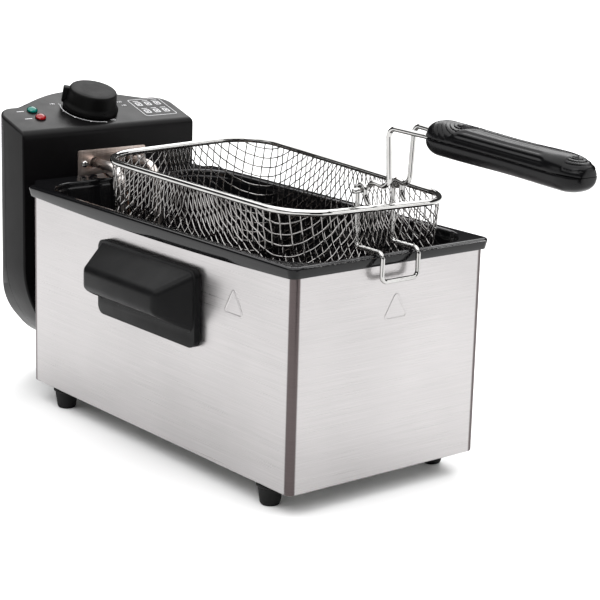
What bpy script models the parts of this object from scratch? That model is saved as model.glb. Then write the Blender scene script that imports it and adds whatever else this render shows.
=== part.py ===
"""Deep fryer: a steel housing with a lift-out oil pot, a slide-on control head with an immersion
heating element, and a wire basket with a folding handle, hooked on the pot's front rim to drain.

Metres, +Z up. The user stands at -Y, so the control head is at +Y and the basket's grip at -Y.
Every shape is drawn about the middle of the housing, on the ground. The last step slides the
whole assembly along Y, so that the origin lies under the middle of its bounding box.
"""

import math

import bmesh
import bpy
from mathutils import Matrix, Quaternion, Vector

# Gaps and small constants
GAP = 0.0003
WELD = 1e-6
CUT = 0.01

# Housing
HALF_WIDTH = 0.0912
HALF_LENGTH = 0.1748
HOUSING_BOTTOM = 0.017
HOUSING_CORNER = 0.0045
STEEL = 0.0008

# Oil pot
RIM_TOP = 0.186
RIM_HALF_WIDTH = 0.0957
RIM_HALF_LENGTH = 0.1782
RIM_CORNER = 0.007
LIP_BOTTOM = 0.1765
LIP_TUCK = 0.0016
ENAMEL = 0.001
OPENING_HALF_WIDTH = 0.0872
OPENING_HALF_LENGTH = 0.1722
OPENING_CORNER = 0.036
POT_FLOOR = 0.032
POT_FLOOR_RADIUS = 0.018
POT_DRAFT = 0.002
HOUSING_TOP = RIM_TOP - ENAMEL - GAP

# Base plate and feet
BASE_THICKNESS = 0.0012
FOOT_X = 0.0803
FOOT_Y = 0.140
FOOT_RADIUS = 0.0073
FOOT_TOP_RADIUS = 0.0108
FOOT_SEAT = 0.009

# Side handles
HANDLE_PLATE_HALF = 0.0657
HANDLE_PLATE_LOW = 0.1015
HANDLE_PLATE_HIGH = 0.162
HANDLE_PLATE_CORNER = 0.0075
HANDLE_PLATE_FACE = 0.097
HANDLE_REACH = 0.123
HOOD_SUNK = 0.004
HOOD_BASE_HALF = 0.0649
HOOD_BASE_LOW = 0.1110
HOOD_BASE_HIGH = 0.1612
HOOD_FRONT_HALF = 0.0485
HOOD_FRONT_LOW = 0.1280
HOOD_FRONT_HIGH = 0.1450
RECESS_LOW = 0.090
HANDLE_SCREW_Y = 0.058
HANDLE_SCREW_Z = 0.131
HANDLE_WALL = 0.0035

# Slide bracket on the housing's back, and the tongue of the control head that runs in it
HEAD_FRONT = 0.1958
BRACKET_HALF = 0.050
BRACKET_WALL = 0.006
BRACKET_LIP = 0.0035
BRACKET_LIP_REACH = 0.034
BRACKET_WEB = 0.003
BRACKET_LOW = 0.045
BRACKET_HIGH = 0.165
BRACKET_SCREW_Z = (0.066, 0.146)
SLIDE_PLAY = 0.0005
TONGUE_THICKNESS = 0.0045
TONGUE_NECK = 0.030
TONGUE_HIGH = 0.160

# Control head
HEAD_HALF = 0.0878
HEAD_ROUND_Z = 0.112
HEAD_TOP_FRONT = 0.2257
HEAD_SEAM = 0.226
HEAD_CORNER = 0.016
HEAD_BACK = 0.244
HEAD_BULGE = 0.023
HEAD_BULGE_HALF = 0.066
HEAD_BULGE_FULLNESS = 0.56
HEAD_WALL = 0.0022
HEAD_EDGE = 0.003
HEAD_EDGE_SEGMENTS = 3
PANEL_TILT = math.radians(17.2)
PANEL_SKIRT = 0.011

# Dial and lamps: places along the sloped panel, from its front edge
DIAL_ALONG = 0.0355
KNOB_TAB_TURN = math.radians(56)
LAMP_X = -0.0557
LAMPS_ALONG = {"green_lamp": 0.0408, "red_lamp": 0.0262}

# Heating element and sensor
PLATE_HALF_WIDTH = 0.0345
PLATE_LOW = 0.1835
PLATE_HIGH = 0.2068
PLATE_THICKNESS = 0.0012
PLATE_SCREW_X = 0.028
PLATE_SCREW_Z = 0.195
ELEMENT_RADIUS = 0.004
ELEMENT_X = 0.018
ELEMENT_Z = 0.1956
ELEMENT_DROP_Y = 0.150
ELEMENT_LOOP_Z = 0.048
ELEMENT_OUTER_X = 0.062
ELEMENT_INNER_X = 0.022
SENSOR_X = -0.009
SENSOR_Z = 0.1895
SENSOR_RADIUS = 0.0012
BULB_RADIUS = 0.003

# Basket
RIM_WIRE = 0.0025
BASKET_HALF = 0.078
BASKET_FRONT = -0.158
BASKET_BACK = 0.0975
BASKET_CORNER = 0.034
BASKET_TILT = 0.0286
BASKET_TWIST = 0.2
BASKET_RIM_Z = 0.2190
BASKET_FLOOR_Z = 0.114
BASKET_TAPER = 0.0045
BASKET_FLOOR_RADIUS = 0.012
MESH_THICKNESS = 0.0008

# Hook: one wire that makes both handle eyes, runs down inside the front wall and over the rim
HOOK_WIRE = 0.0018
HOOK_X = 0.0172
HOOK_OUT_Y = -0.1825
HOOK_BOTTOM_Z = 0.167
HOOK_HOLE_PLAY = 0.0014

# Basket handle
WIRE = 0.002
PIVOT_Y = -0.1572
PIVOT_Z = 0.230
PIN_X = 0.025
LEG_X = 0.0114
LEG_Y = -0.178
LEG_TOP_Z = 0.2778
GRIP_NEAR = -0.2118
GRIP_FAR = -0.357
GRIP_NEAR_Z = 0.2765
GRIP_FAR_Z = 0.2697
GRIP_HALF_WIDTH = 0.0142
GRIP_HALF_HEIGHT = 0.0124
GRIP_WIRE_X = 0.0095
GRIP_WIRE_END = 0.86
GRIP_SCREWS = (0.25, 0.72)
GRIP_SCREW_SEAT = -0.008
GRIP_SCREW_LENGTH = 0.012

# Cord gland
GLAND_Z = 0.070
GLAND_FLANGE = 0.0024

FINISHES = {
    "steel": ((0.66, 0.65, 0.63), 0.32, 1.0),
    "enamel": ((0.012, 0.012, 0.013), 0.12, 0.0),
    "head_plastic": ((0.022, 0.021, 0.022), 0.42, 0.0),
    "handle_plastic": ((0.020, 0.020, 0.021), 0.38, 0.0),
    "foot_rubber": ((0.016, 0.016, 0.017), 0.70, 0.0),
    "chrome": ((0.80, 0.80, 0.80), 0.10, 1.0),
    "plate_steel": ((0.46, 0.41, 0.38), 0.36, 1.0),
    "element_steel": ((0.42, 0.40, 0.38), 0.30, 1.0),
    "zinc": ((0.60, 0.60, 0.58), 0.35, 1.0),
    "grip_plastic": ((0.012, 0.012, 0.013), 0.22, 0.0),
    "green_lens": ((0.02, 0.42, 0.26), 0.12, 0.0),
    "red_lens": ((0.60, 0.02, 0.02), 0.12, 0.0),
    "ceramic": ((0.80, 0.77, 0.70), 0.55, 0.0),
    "copper": ((0.72, 0.42, 0.28), 0.30, 1.0),
}


# ---------------------------------------------------------------- scene and materials


def clear_scene():
    """Starts from nothing."""
    for obj in list(bpy.data.objects):
        bpy.data.objects.remove(obj, do_unlink=True)


def new_collection(name):
    """A collection linked to the scene."""
    made = bpy.data.collections.new(name)
    bpy.context.scene.collection.children.link(made)
    return made


def give_material(obj, finish):
    """The object's own Principled material in the named finish."""
    colour, roughness, metallic = FINISHES[finish]
    made = bpy.data.materials.new(f"{obj.name}_{finish}")
    made.use_nodes = True
    shader = made.node_tree.nodes["Principled BSDF"]
    shader.inputs["Base Color"].default_value = (*colour, 1.0)
    shader.inputs["Roughness"].default_value = roughness
    shader.inputs["Metallic"].default_value = metallic
    made.diffuse_color = (*colour, 1.0)
    obj.data.materials.clear()
    obj.data.materials.append(made)


# ---------------------------------------------------------------- meshes and Booleans


def place(name, data, matrix=None):
    """An object in the parts collection."""
    obj = bpy.data.objects.new(name, data)
    obj.matrix_world = matrix or Matrix()
    PARTS.objects.link(obj)
    return obj


def from_bmesh(name, form, matrix=None):
    """An object from a bmesh, with its faces turned outwards."""
    bmesh.ops.recalc_face_normals(form, faces=form.faces)
    mesh = bpy.data.meshes.new(name)
    form.to_mesh(mesh)
    form.free()
    return place(name, mesh, matrix)


def baked(obj, turn_out=True):
    """The evaluated object as a plain mesh: welded, smooth except at real edges.

    A Boolean's result already faces the right way, and turning it out would fill a sealed hollow.
    """
    graph = bpy.context.evaluated_depsgraph_get()
    mesh = bpy.data.meshes.new_from_object(obj.evaluated_get(graph))
    form = bmesh.new()
    form.from_mesh(mesh)
    bmesh.ops.remove_doubles(form, verts=form.verts, dist=WELD)
    if turn_out:
        bmesh.ops.recalc_face_normals(form, faces=form.faces)
    form.to_mesh(mesh)
    form.free()
    mesh.shade_smooth()
    mesh.set_sharp_from_angle(angle=math.radians(32))
    name = obj.name
    matrix = obj.matrix_world.copy()
    bpy.data.objects.remove(obj, do_unlink=True)
    return place(name, mesh, matrix)


def stow(obj):
    """Moves a cutter or guide out of the parts."""
    PARTS.objects.unlink(obj)
    CUTTERS.objects.link(obj)
    obj.hide_render = True
    obj.display_type = "WIRE"


def combine(target, others, operation):
    """Joins, cuts or intersects the target with each of the others, and bakes the result."""
    for other in others:
        modifier = target.modifiers.new(operation.title(), "BOOLEAN")
        modifier.operation = operation
        modifier.solver = "EXACT"
        modifier.object = other
    result = baked(target, turn_out=False)
    for other in others:
        stow(other)
    return result


# ---------------------------------------------------------------- outlines and paths


def arc(centre, radius, start, end, steps):
    """Points on an arc, angles in degrees, both ends included."""
    points = []
    for index in range(steps + 1):
        angle = math.radians(start + (end - start) * index / steps)
        across = centre[0] + radius * math.cos(angle)
        up = centre[1] + radius * math.sin(angle)
        points.append((across, up))
    return points


def rounded_rectangle(half_u, half_v, radius, steps=4, centre=(0.0, 0.0)):
    """Counter-clockwise outline of a rectangle with round corners."""
    points = []
    corners = ((1, 1, 0), (-1, 1, 90), (-1, -1, 180), (1, -1, 270))
    for sign_u, sign_v, start in corners:
        middle = (centre[0] + sign_u * (half_u - radius), centre[1] + sign_v * (half_v - radius))
        points += arc(middle, radius, start, start + 90, steps)
    return points


def circle(centre, radius, steps=16):
    """Closed outline of a circle."""
    return arc(centre, radius, 0, 360 - 360 / steps, steps - 1)


def rounded_path(corners, radius, steps=4, cyclic=False):
    """A wire's centre line: straight runs between the corners, each corner turned as an arc."""
    corners = [Vector(corner) for corner in corners]
    count = len(corners)
    path = []
    for index, corner in enumerate(corners):
        if not cyclic and index in (0, count - 1):
            path.append(corner)
            continue
        to_last = corners[index - 1] - corner
        to_next = corners[(index + 1) % count] - corner
        opening = to_last.angle(to_next) / 2
        reach = min(radius / math.tan(opening), 0.49 * to_last.length, 0.49 * to_next.length)
        bend = reach * math.tan(opening)
        bisector = (to_last.normalized() + to_next.normalized()).normalized()
        centre = corner + bisector * (bend / math.sin(opening))
        first = corner + to_last.normalized() * reach - centre
        axis = first.cross(corner + to_next.normalized() * reach - centre)
        turn = math.pi - 2 * opening
        for step in range(steps + 1):
            path.append(centre + Quaternion(axis, turn * step / steps) @ first)
    return path


# ---------------------------------------------------------------- basic solids


def stretched(point, low, high):
    """Maps a point of the unit cube to the box from low to high."""
    return Vector(low[i] + (high[i] - low[i]) * (point[i] + 0.5) for i in range(3))


def box(name, low, high, bevel=0.0, segments=2):
    """A box between two corners, with rounded edges if bevel is set."""
    form = bmesh.new()
    bmesh.ops.create_cube(form, size=1.0)
    for vert in form.verts:
        vert.co = stretched(vert.co, low, high)
    if bevel:
        edges = form.edges[:]
        bmesh.ops.bevel(form, geom=edges, offset=bevel, segments=segments, profile=0.5, affect="EDGES")
    return from_bmesh(name, form)


def tapered_box(name, near, far, bevel=0.0, segments=2):
    """A box along X whose two ends differ: each is (x, half width in Y, low Z, high Z)."""
    form = bmesh.new()
    bmesh.ops.create_cube(form, size=1.0)
    for vert in form.verts:
        x, half, low, high = far if vert.co.x > 0 else near
        vert.co = Vector((x, half if vert.co.y > 0 else -half, high if vert.co.z > 0 else low))
    if bevel:
        edges = form.edges[:]
        bmesh.ops.bevel(form, geom=edges, offset=bevel, segments=segments, profile=0.5, affect="EDGES")
    return from_bmesh(name, form)


def axis_matrix(axis, offset=0.0):
    """Turns an outline drawn in a plane to stand across the given axis, moved along it."""
    if axis == "X":
        turn = Matrix(((0, 0, 1, 0), (1, 0, 0, 0), (0, 1, 0, 0), (0, 0, 0, 1)))
        return Matrix.Translation((offset, 0, 0)) @ turn
    if axis == "Y":
        return Matrix.Translation((0, offset, 0)) @ Matrix.Rotation(math.radians(90), 4, "X")
    return Matrix.Translation((0, 0, offset))


def extruded(name, outlines, low, high, axis="Z"):
    """A flat outline with its holes, drawn as (x, y), (x, z) or (y, z), extruded along the axis."""
    curve = bpy.data.curves.new(name, "CURVE")
    curve.dimensions = "2D"
    curve.fill_mode = "BOTH"
    curve.extrude = (high - low) / 2
    for outline in outlines:
        spline = curve.splines.new("POLY")
        spline.points.add(len(outline) - 1)
        for point, (across, up) in zip(spline.points, outline):
            point.co = (across, up, 0, 1)
        spline.use_cyclic_u = True
    made = baked(place(name, curve, axis_matrix(axis, (low + high) / 2)))
    made.data.transform(made.matrix_world)
    made.matrix_world = Matrix()
    return made


def turned(name, profile, matrix, steps=20, ring=False):
    """A profile of (radius, height) points, running down its outer side, turned about local Z."""
    mesh = bpy.data.meshes.new(name)
    edges = [(index, index + 1) for index in range(len(profile) - 1)]
    if ring:
        edges.append((len(profile) - 1, 0))
    mesh.from_pydata([(radius, 0, height) for radius, height in profile], edges, [])
    obj = place(name, mesh, matrix)
    screw = obj.modifiers.new("Turn", "SCREW")
    screw.steps = steps
    screw.render_steps = steps
    screw.use_merge_vertices = True
    screw.merge_threshold = 0.00001
    return baked(obj)


def rod(name, radius, low, high, matrix, steps=16):
    """A plain cylinder along local Z."""
    return turned(name, [(0, high), (radius, high), (radius, low), (0, low)], matrix, steps)


def tube(name, path, radius, cyclic=False, widths=None):
    """A bent wire or tube along a path, eight-sided, with closed ends."""
    curve = bpy.data.curves.new(name, "CURVE")
    curve.dimensions = "3D"
    curve.bevel_depth = radius
    curve.bevel_resolution = 2
    curve.use_fill_caps = True
    spline = curve.splines.new("POLY")
    spline.points.add(len(path) - 1)
    for index, (point, place_at) in enumerate(zip(spline.points, path)):
        point.co = (*place_at, 1)
        point.radius = widths[index] if widths else 1.0
    spline.use_cyclic_u = cyclic
    return baked(place(name, curve))


def lofted(name, rings, thickness):
    """A sheet through a stack of closed rings, the last one filled, made thick behind its faces."""
    form = bmesh.new()
    rows = [[form.verts.new(point) for point in ring] for ring in rings]
    for upper, lower in zip(rows, rows[1:]):
        for index in range(len(upper)):
            after = (index + 1) % len(upper)
            form.faces.new((upper[index], upper[after], lower[after], lower[index]))
    form.faces.new(rows[-1])
    mesh = bpy.data.meshes.new(name)
    form.to_mesh(mesh)
    form.free()
    obj = place(name, mesh)
    solid = obj.modifiers.new("Thickness", "SOLIDIFY")
    solid.thickness = thickness
    solid.offset = -1
    solid.use_even_offset = True
    return baked(obj)


def screw(name, matrix, length, head_radius=0.0029, shank_radius=0.0015, steps=8):
    """A round-headed screw with a blind drive recess: its head stands on local Z = 0."""
    head = 0.0018
    recess = 0.4 * head_radius
    profile = [
        (0, head * 0.35),
        (recess, head * 0.35),
        (recess, head),
        (head_radius * 0.78, head),
        (head_radius, head * 0.5),
        (head_radius, 0),
        (shank_radius, 0),
        (shank_radius, -length),
        (0, -length),
    ]
    made = turned(name, profile, matrix, steps)
    give_material(made, "zinc")
    return made


# ---------------------------------------------------------------- housing


def housing_shell():
    """The steel wrapper: four walls with round vertical corners, open at the top and bottom."""
    outer = rounded_rectangle(HALF_WIDTH, HALF_LENGTH, HOUSING_CORNER)
    inner = rounded_rectangle(HALF_WIDTH - STEEL, HALF_LENGTH - STEEL, HOUSING_CORNER - STEEL)
    shell = extruded("housing_shell", [outer, inner], HOUSING_BOTTOM, HOUSING_TOP)
    holes = []
    for place_y in (-HANDLE_SCREW_Y, HANDLE_SCREW_Y):
        across = Matrix.Translation((0, place_y, HANDLE_SCREW_Z)) @ axis_matrix("X")
        holes.append(rod("handle_hole_cutter", 0.0019, -0.1, 0.1, across, 10))
    for place_z in BRACKET_SCREW_Z:
        along = Matrix.Translation((0, HALF_LENGTH, place_z)) @ axis_matrix("Y")
        holes.append(rod("bracket_hole_cutter", 0.0019, -CUT, CUT, along, 10))
    shell = combine(shell, holes, "DIFFERENCE")
    give_material(shell, "steel")
    return [shell]


def base_plate():
    """The floor of the housing, with a row of vent slots and the feet's screw holes."""
    low = HOUSING_BOTTOM + GAP
    half_x = HALF_WIDTH - STEEL - GAP
    half_y = HALF_LENGTH - STEEL - GAP
    outlines = [rounded_rectangle(half_x, half_y, HOUSING_CORNER - STEEL)]
    for index in range(-2, 3):
        outlines.append(rounded_rectangle(0.030, 0.0025, 0.0024, 2, (0, index * 0.016)))
    for sign_x in (-1, 1):
        for sign_y in (-1, 1):
            outlines.append(circle((sign_x * FOOT_X, sign_y * FOOT_Y), 0.0019, 10))
    plate = extruded("base_plate", outlines, low, low + BASE_THICKNESS)
    give_material(plate, "zinc")
    return [plate]


def feet():
    """Four tapered feet, each with a counterbore for the screw that holds it."""
    made = []
    top = HOUSING_BOTTOM
    profile = [
        (0.0022, top),
        (FOOT_TOP_RADIUS, top),
        (FOOT_TOP_RADIUS, top - 0.002),
        (FOOT_RADIUS, 0.0012),
        (FOOT_RADIUS - 0.0012, 0),
        (0.0044, 0),
        (0.0044, FOOT_SEAT),
        (0.0022, FOOT_SEAT),
    ]
    for side_x, sign_x in (("left", -1), ("right", 1)):
        for side_y, sign_y in (("front", -1), ("back", 1)):
            at = Matrix.Translation((sign_x * FOOT_X, sign_y * FOOT_Y, 0))
            foot = turned(f"foot_{side_y}_{side_x}", profile, at, 14, ring=True)
            give_material(foot, "foot_rubber")
            made.append(foot)
            upside_down = Matrix.Rotation(math.pi, 4, "X")
            under = at @ Matrix.Translation((0, 0, FOOT_SEAT - GAP)) @ upside_down
            made.append(screw(f"foot_screw_{side_y}_{side_x}", under, 0.0145, 0.0036, 0.0017))
    return made


def side_handle(side, sign):
    """A moulded carrying handle: a back plate and a hood over a finger recess that opens downwards."""
    plate_z = (HANDLE_PLATE_LOW + HANDLE_PLATE_HIGH) / 2
    half_z = (HANDLE_PLATE_HIGH - HANDLE_PLATE_LOW) / 2
    outline = rounded_rectangle(HANDLE_PLATE_HALF, half_z, HANDLE_PLATE_CORNER, 4, (0, plate_z))
    back = HALF_WIDTH + GAP
    handle = extruded(f"side_handle_{side}", [outline], back, HANDLE_PLATE_FACE, "X")
    hood = tapered_box(
        "hood_guide",
        (HANDLE_PLATE_FACE - HOOD_SUNK, HOOD_BASE_HALF, HOOD_BASE_LOW, HOOD_BASE_HIGH),
        (HANDLE_REACH, HOOD_FRONT_HALF, HOOD_FRONT_LOW, HOOD_FRONT_HIGH),
        bevel=0.003,
    )
    recess = tapered_box(
        "recess_cutter",
        (HANDLE_PLATE_FACE + GAP, HOOD_BASE_HALF - HANDLE_WALL, RECESS_LOW, HOOD_BASE_HIGH - HANDLE_WALL),
        (HANDLE_REACH - HANDLE_WALL, HOOD_FRONT_HALF - HANDLE_WALL, RECESS_LOW, HOOD_FRONT_HIGH - HANDLE_WALL),
        bevel=0.002,
    )
    handle = combine(handle, [hood], "UNION")
    cutters = [recess]
    for place_y in (-HANDLE_SCREW_Y, HANDLE_SCREW_Y):
        across = Matrix.Translation((back, place_y, HANDLE_SCREW_Z)) @ axis_matrix("X")
        cutters.append(rod("handle_pilot_cutter", 0.0018, -0.005, 0.005, across, 10))
    handle = combine(handle, cutters, "DIFFERENCE")
    if sign < 0:
        handle.matrix_world = Matrix.Rotation(math.pi, 4, "Z")
    give_material(handle, "handle_plastic")
    made = [handle]
    for end, place_y in (("front", -HANDLE_SCREW_Y), ("back", HANDLE_SCREW_Y)):
        inward = Matrix.Rotation(math.radians(90 * sign), 4, "Y") @ Matrix.Rotation(math.pi, 4, "X")
        head_x = sign * (HALF_WIDTH - STEEL - GAP)
        at = Matrix.Translation((head_x, place_y, HANDLE_SCREW_Z)) @ inward
        made.append(screw(f"handle_screw_{end}_{side}", at, 0.0052))
    return made


def slide_bracket():
    """A channel on the back of the housing, open at the top, that the control head drops into."""
    back = HALF_LENGTH + GAP
    front = HEAD_FRONT - SLIDE_PLAY
    half = BRACKET_HALF
    inside = half - BRACKET_WALL
    outline = [
        (-half, back),
        (half, back),
        (half, front),
        (BRACKET_LIP_REACH, front),
        (BRACKET_LIP_REACH, front - BRACKET_LIP),
        (inside, front - BRACKET_LIP),
        (inside, back + BRACKET_WEB),
        (-inside, back + BRACKET_WEB),
        (-inside, front - BRACKET_LIP),
        (-BRACKET_LIP_REACH, front - BRACKET_LIP),
        (-BRACKET_LIP_REACH, front),
        (-half, front),
    ]
    bracket = extruded("slide_bracket", [outline], BRACKET_LOW, BRACKET_HIGH)
    floor_low = (-half + 0.001, back + 0.001, BRACKET_LOW + 0.0002)
    floor = box("bracket_floor_guide", floor_low, (half - 0.001, front - 0.001, BRACKET_LOW + 0.003))
    bracket = combine(bracket, [floor], "UNION")
    holes = []
    for place_z in BRACKET_SCREW_Z:
        along = Matrix.Translation((0, back, place_z)) @ axis_matrix("Y")
        holes.append(rod("bracket_web_cutter", 0.0019, -CUT / 2, CUT / 2, along, 10))
    bracket = combine(bracket, holes, "DIFFERENCE")
    give_material(bracket, "head_plastic")
    made = [bracket]
    for level, place_z in zip(("lower", "upper"), BRACKET_SCREW_Z):
        head_at = Matrix.Translation((0, back + BRACKET_WEB + GAP, place_z))
        at = head_at @ Matrix.Rotation(math.radians(-90), 4, "X")
        made.append(screw(f"bracket_screw_{level}", at, 0.005))
    return made


# ---------------------------------------------------------------- oil pot


def ring_at(half_x, half_y, radius, height, steps=5, centre_y=0.0):
    """One level of a lofted tub."""
    outline = rounded_rectangle(half_x, half_y, radius, steps, (0.0, centre_y))
    return [(x, y, height) for x, y in outline]


def oil_pot():
    """The enamelled pot: a lip turned down over the housing, a wide rim, drafted walls, a round foot."""
    tucked = RIM_HALF_WIDTH - LIP_TUCK
    rings = [ring_at(tucked, RIM_HALF_LENGTH - LIP_TUCK, RIM_CORNER - LIP_TUCK, LIP_BOTTOM)]
    for inset, drop in ((0.0, 0.0024), (0.0004, 0.0010), (0.0018, 0.0)):
        half_x = RIM_HALF_WIDTH - inset
        half_y = RIM_HALF_LENGTH - inset
        rings.append(ring_at(half_x, half_y, RIM_CORNER - inset, RIM_TOP - drop))
    for outset, drop in ((0.002, 0.0), (0.0006, 0.0006), (0.0, 0.002)):
        half_x = OPENING_HALF_WIDTH + outset
        half_y = OPENING_HALF_LENGTH + outset
        rings.append(ring_at(half_x, half_y, OPENING_CORNER + outset, RIM_TOP - drop))
    bottom_x = OPENING_HALF_WIDTH - POT_DRAFT
    bottom_y = OPENING_HALF_LENGTH - POT_DRAFT
    bottom_corner = OPENING_CORNER - POT_DRAFT
    turns = 3
    for index in range(turns + 1):
        angle = math.radians(90) * index / turns
        inset = POT_FLOOR_RADIUS * (1 - math.cos(angle))
        height = POT_FLOOR + POT_FLOOR_RADIUS * (1 - math.sin(angle))
        rings.append(ring_at(bottom_x - inset, bottom_y - inset, bottom_corner - inset, height))
    pot = lofted("oil_pot", rings, ENAMEL)
    give_material(pot, "enamel")
    return [pot]


# ---------------------------------------------------------------- control head


def panel_matrix(across, along, lift=0.0):
    """A frame on the sloped panel: local Z is the panel's normal, along is measured up the slope."""
    place_y = HEAD_FRONT + along * math.cos(PANEL_TILT) - lift * math.sin(PANEL_TILT)
    place_z = HEAD_TOP_FRONT + along * math.sin(PANEL_TILT) + lift * math.cos(PANEL_TILT)
    return Matrix.Translation((across, place_y, place_z)) @ Matrix.Rotation(PANEL_TILT, 4, "X")


def panel_height(place_y):
    """Height of the sloped panel at a depth."""
    return HEAD_TOP_FRONT + (place_y - HEAD_FRONT) * math.tan(PANEL_TILT)


def head_plan(inset):
    """The head from above: straight front and sides, round back corners and a bulge in the middle."""
    half = HEAD_HALF - inset
    front = HEAD_FRONT + inset
    corner = HEAD_CORNER - inset
    corner_centre = (half - corner, HEAD_BACK - HEAD_CORNER)
    right = [(half, front)] + arc(corner_centre, corner, 0, 90, 4)
    steps = 9
    for index in range(steps):
        x = HEAD_BULGE_HALF * (1 - index / steps)
        swell = (0.5 * (1 + math.cos(math.pi * x / HEAD_BULGE_HALF))) ** HEAD_BULGE_FULLNESS
        right.append((x, HEAD_BACK + HEAD_BULGE * swell - inset))
    middle = [(0.0, HEAD_BACK + HEAD_BULGE - inset)]
    left = [(-x, y) for x, y in reversed(right)]
    return right + middle + left


def head_front_view(inset):
    """The head from the front: straight sides and a half-round bottom. The slope cuts its top."""
    half = HEAD_HALF - inset
    high = 0.30
    bottom = arc((0.0, HEAD_ROUND_Z), half, 180, 360, 22)
    return bottom + [(half, high), (-half, high)]


def head_solid(name, inset):
    """The head's outer form, or its hollow when inset by the wall."""
    solid = extruded(name, [head_plan(inset)], 0.01, 0.28)
    front_view = extruded("front_view_guide", [head_front_view(inset)], 0.15, 0.30, "Y")
    top = panel_matrix(0, 0, -inset)
    above = box("above_panel_cutter", (-0.15, -0.10, 0.0), (0.15, 0.15, 0.12))
    above.matrix_world = top
    solid = combine(solid, [front_view], "INTERSECT")
    return combine(solid, [above], "DIFFERENCE")


def on_panel(point):
    """True for a point of the outer form's sloped top."""
    return abs(point.z - panel_height(point.y)) < 1e-5


def round_outer_edges(solid):
    """Rounds the edges of the head's front and of its sloped top."""
    form = bmesh.new()
    form.from_mesh(solid.data)
    bmesh.ops.dissolve_limit(form, angle_limit=math.radians(0.5), verts=form.verts, edges=form.edges)
    chosen = []
    for edge in form.edges:
        ends = [vert.co for vert in edge.verts]
        at_front = all(abs(end.y - HEAD_FRONT) < 1e-5 for end in ends)
        at_top = all(on_panel(end) for end in ends)
        if at_front or at_top:
            chosen.append(edge)
    bmesh.ops.bevel(
        form,
        geom=chosen,
        offset=HEAD_EDGE,
        segments=HEAD_EDGE_SEGMENTS,
        profile=0.5,
        affect="EDGES",
        clamp_overlap=True,
    )
    form.to_mesh(solid.data)
    form.free()


def rear_region(name, back_off):
    """Everything behind the side seam and below the panel's skirt."""
    seam = HEAD_SEAM + back_off
    drop = PANEL_SKIRT + back_off
    far = 0.30
    side = [
        (seam, 0.0),
        (far, 0.0),
        (far, panel_height(far) - drop),
        (seam, panel_height(seam) - drop),
    ]
    return extruded(name, [side], -0.12, 0.12, "X")


def head_shells():
    """The front casing with the sloped panel, and the rear cover that closes it."""
    outer = head_solid("head_casing", 0.0)
    round_outer_edges(outer)
    hollow = combine(outer, [head_solid("head_hollow_cutter", HEAD_WALL)], "DIFFERENCE")
    cover = place("head_rear_cover", hollow.data.copy())
    casing_cutters = [rear_region("rear_region_cutter", 0.0)]
    casing_cutters.append(rod("shaft_hole_cutter", 0.0037, -CUT, CUT, panel_matrix(0, DIAL_ALONG)))
    for along in LAMPS_ALONG.values():
        casing_cutters.append(rod("lamp_hole_cutter", 0.0040, -CUT, CUT, panel_matrix(LAMP_X, along)))
    front_holes = [(sign * ELEMENT_X, ELEMENT_Z, ELEMENT_RADIUS + 0.0005) for sign in (-1, 1)]
    front_holes += [(sign * PLATE_SCREW_X, PLATE_SCREW_Z, 0.0018) for sign in (-1, 1)]
    front_holes.append((SENSOR_X, SENSOR_Z, SENSOR_RADIUS + 0.0005))
    for x, z, radius in front_holes:
        at = Matrix.Translation((x, HEAD_FRONT, z)) @ axis_matrix("Y")
        casing_cutters.append(rod("front_hole_cutter", radius, -CUT / 2, CUT / 2, at, 12))
    casing = combine(hollow, casing_cutters, "DIFFERENCE")
    give_material(casing, "head_plastic")
    cover = combine(cover, [rear_region("rear_region_guide", GAP)], "INTERSECT")
    cover_cutters = []
    for x, y, z in cover_screw_places():
        at = Matrix.Translation((x, y, z)) @ axis_matrix("Y")
        cover_cutters.append(rod("cover_hole_cutter", 0.0018, -CUT / 2, CUT / 2, at, 10))
    gland_at = Matrix.Translation((0, HEAD_BACK + HEAD_BULGE, GLAND_Z)) @ axis_matrix("Y")
    cover_cutters.append(rod("gland_hole_cutter", 0.0071, -CUT, CUT, gland_at))
    cover = combine(cover, cover_cutters, "DIFFERENCE")
    give_material(cover, "head_plastic")
    return [casing, cover]


def cover_screw_places():
    """Where the rear cover is screwed on: each side at mid height, and low in the middle."""
    side = HEAD_BULGE_HALF + 0.003
    return [(-side, HEAD_BACK, 0.130), (side, HEAD_BACK, 0.130), (0.0, HEAD_BACK + HEAD_BULGE, 0.045)]


def cover_screws():
    """The rear cover's three screws."""
    made = []
    for label, (x, y, z) in zip(("left", "right", "bottom"), cover_screw_places()):
        at = Matrix.Translation((x, y + GAP, z)) @ Matrix.Rotation(math.radians(-90), 4, "X")
        made.append(screw(f"cover_screw_{label}", at, 0.010))
    return made


def cord_gland():
    """The grommet in the rear cover that a mains cord would come out of."""
    wall = HEAD_BACK + HEAD_BULGE
    at = Matrix.Translation((0, wall, GLAND_Z)) @ Matrix.Rotation(math.radians(-90), 4, "X")
    profile = [
        (0.0036, GLAND_FLANGE),
        (0.0080, GLAND_FLANGE),
        (0.0092, 0.0012),
        (0.0092, 0.0005),
        (0.0067, 0.0005),
        (0.0067, -0.008),
        (0.0036, -0.008),
    ]
    gland = turned("cord_gland", profile, at, 18, ring=True)
    give_material(gland, "foot_rubber")
    return [gland]


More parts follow.
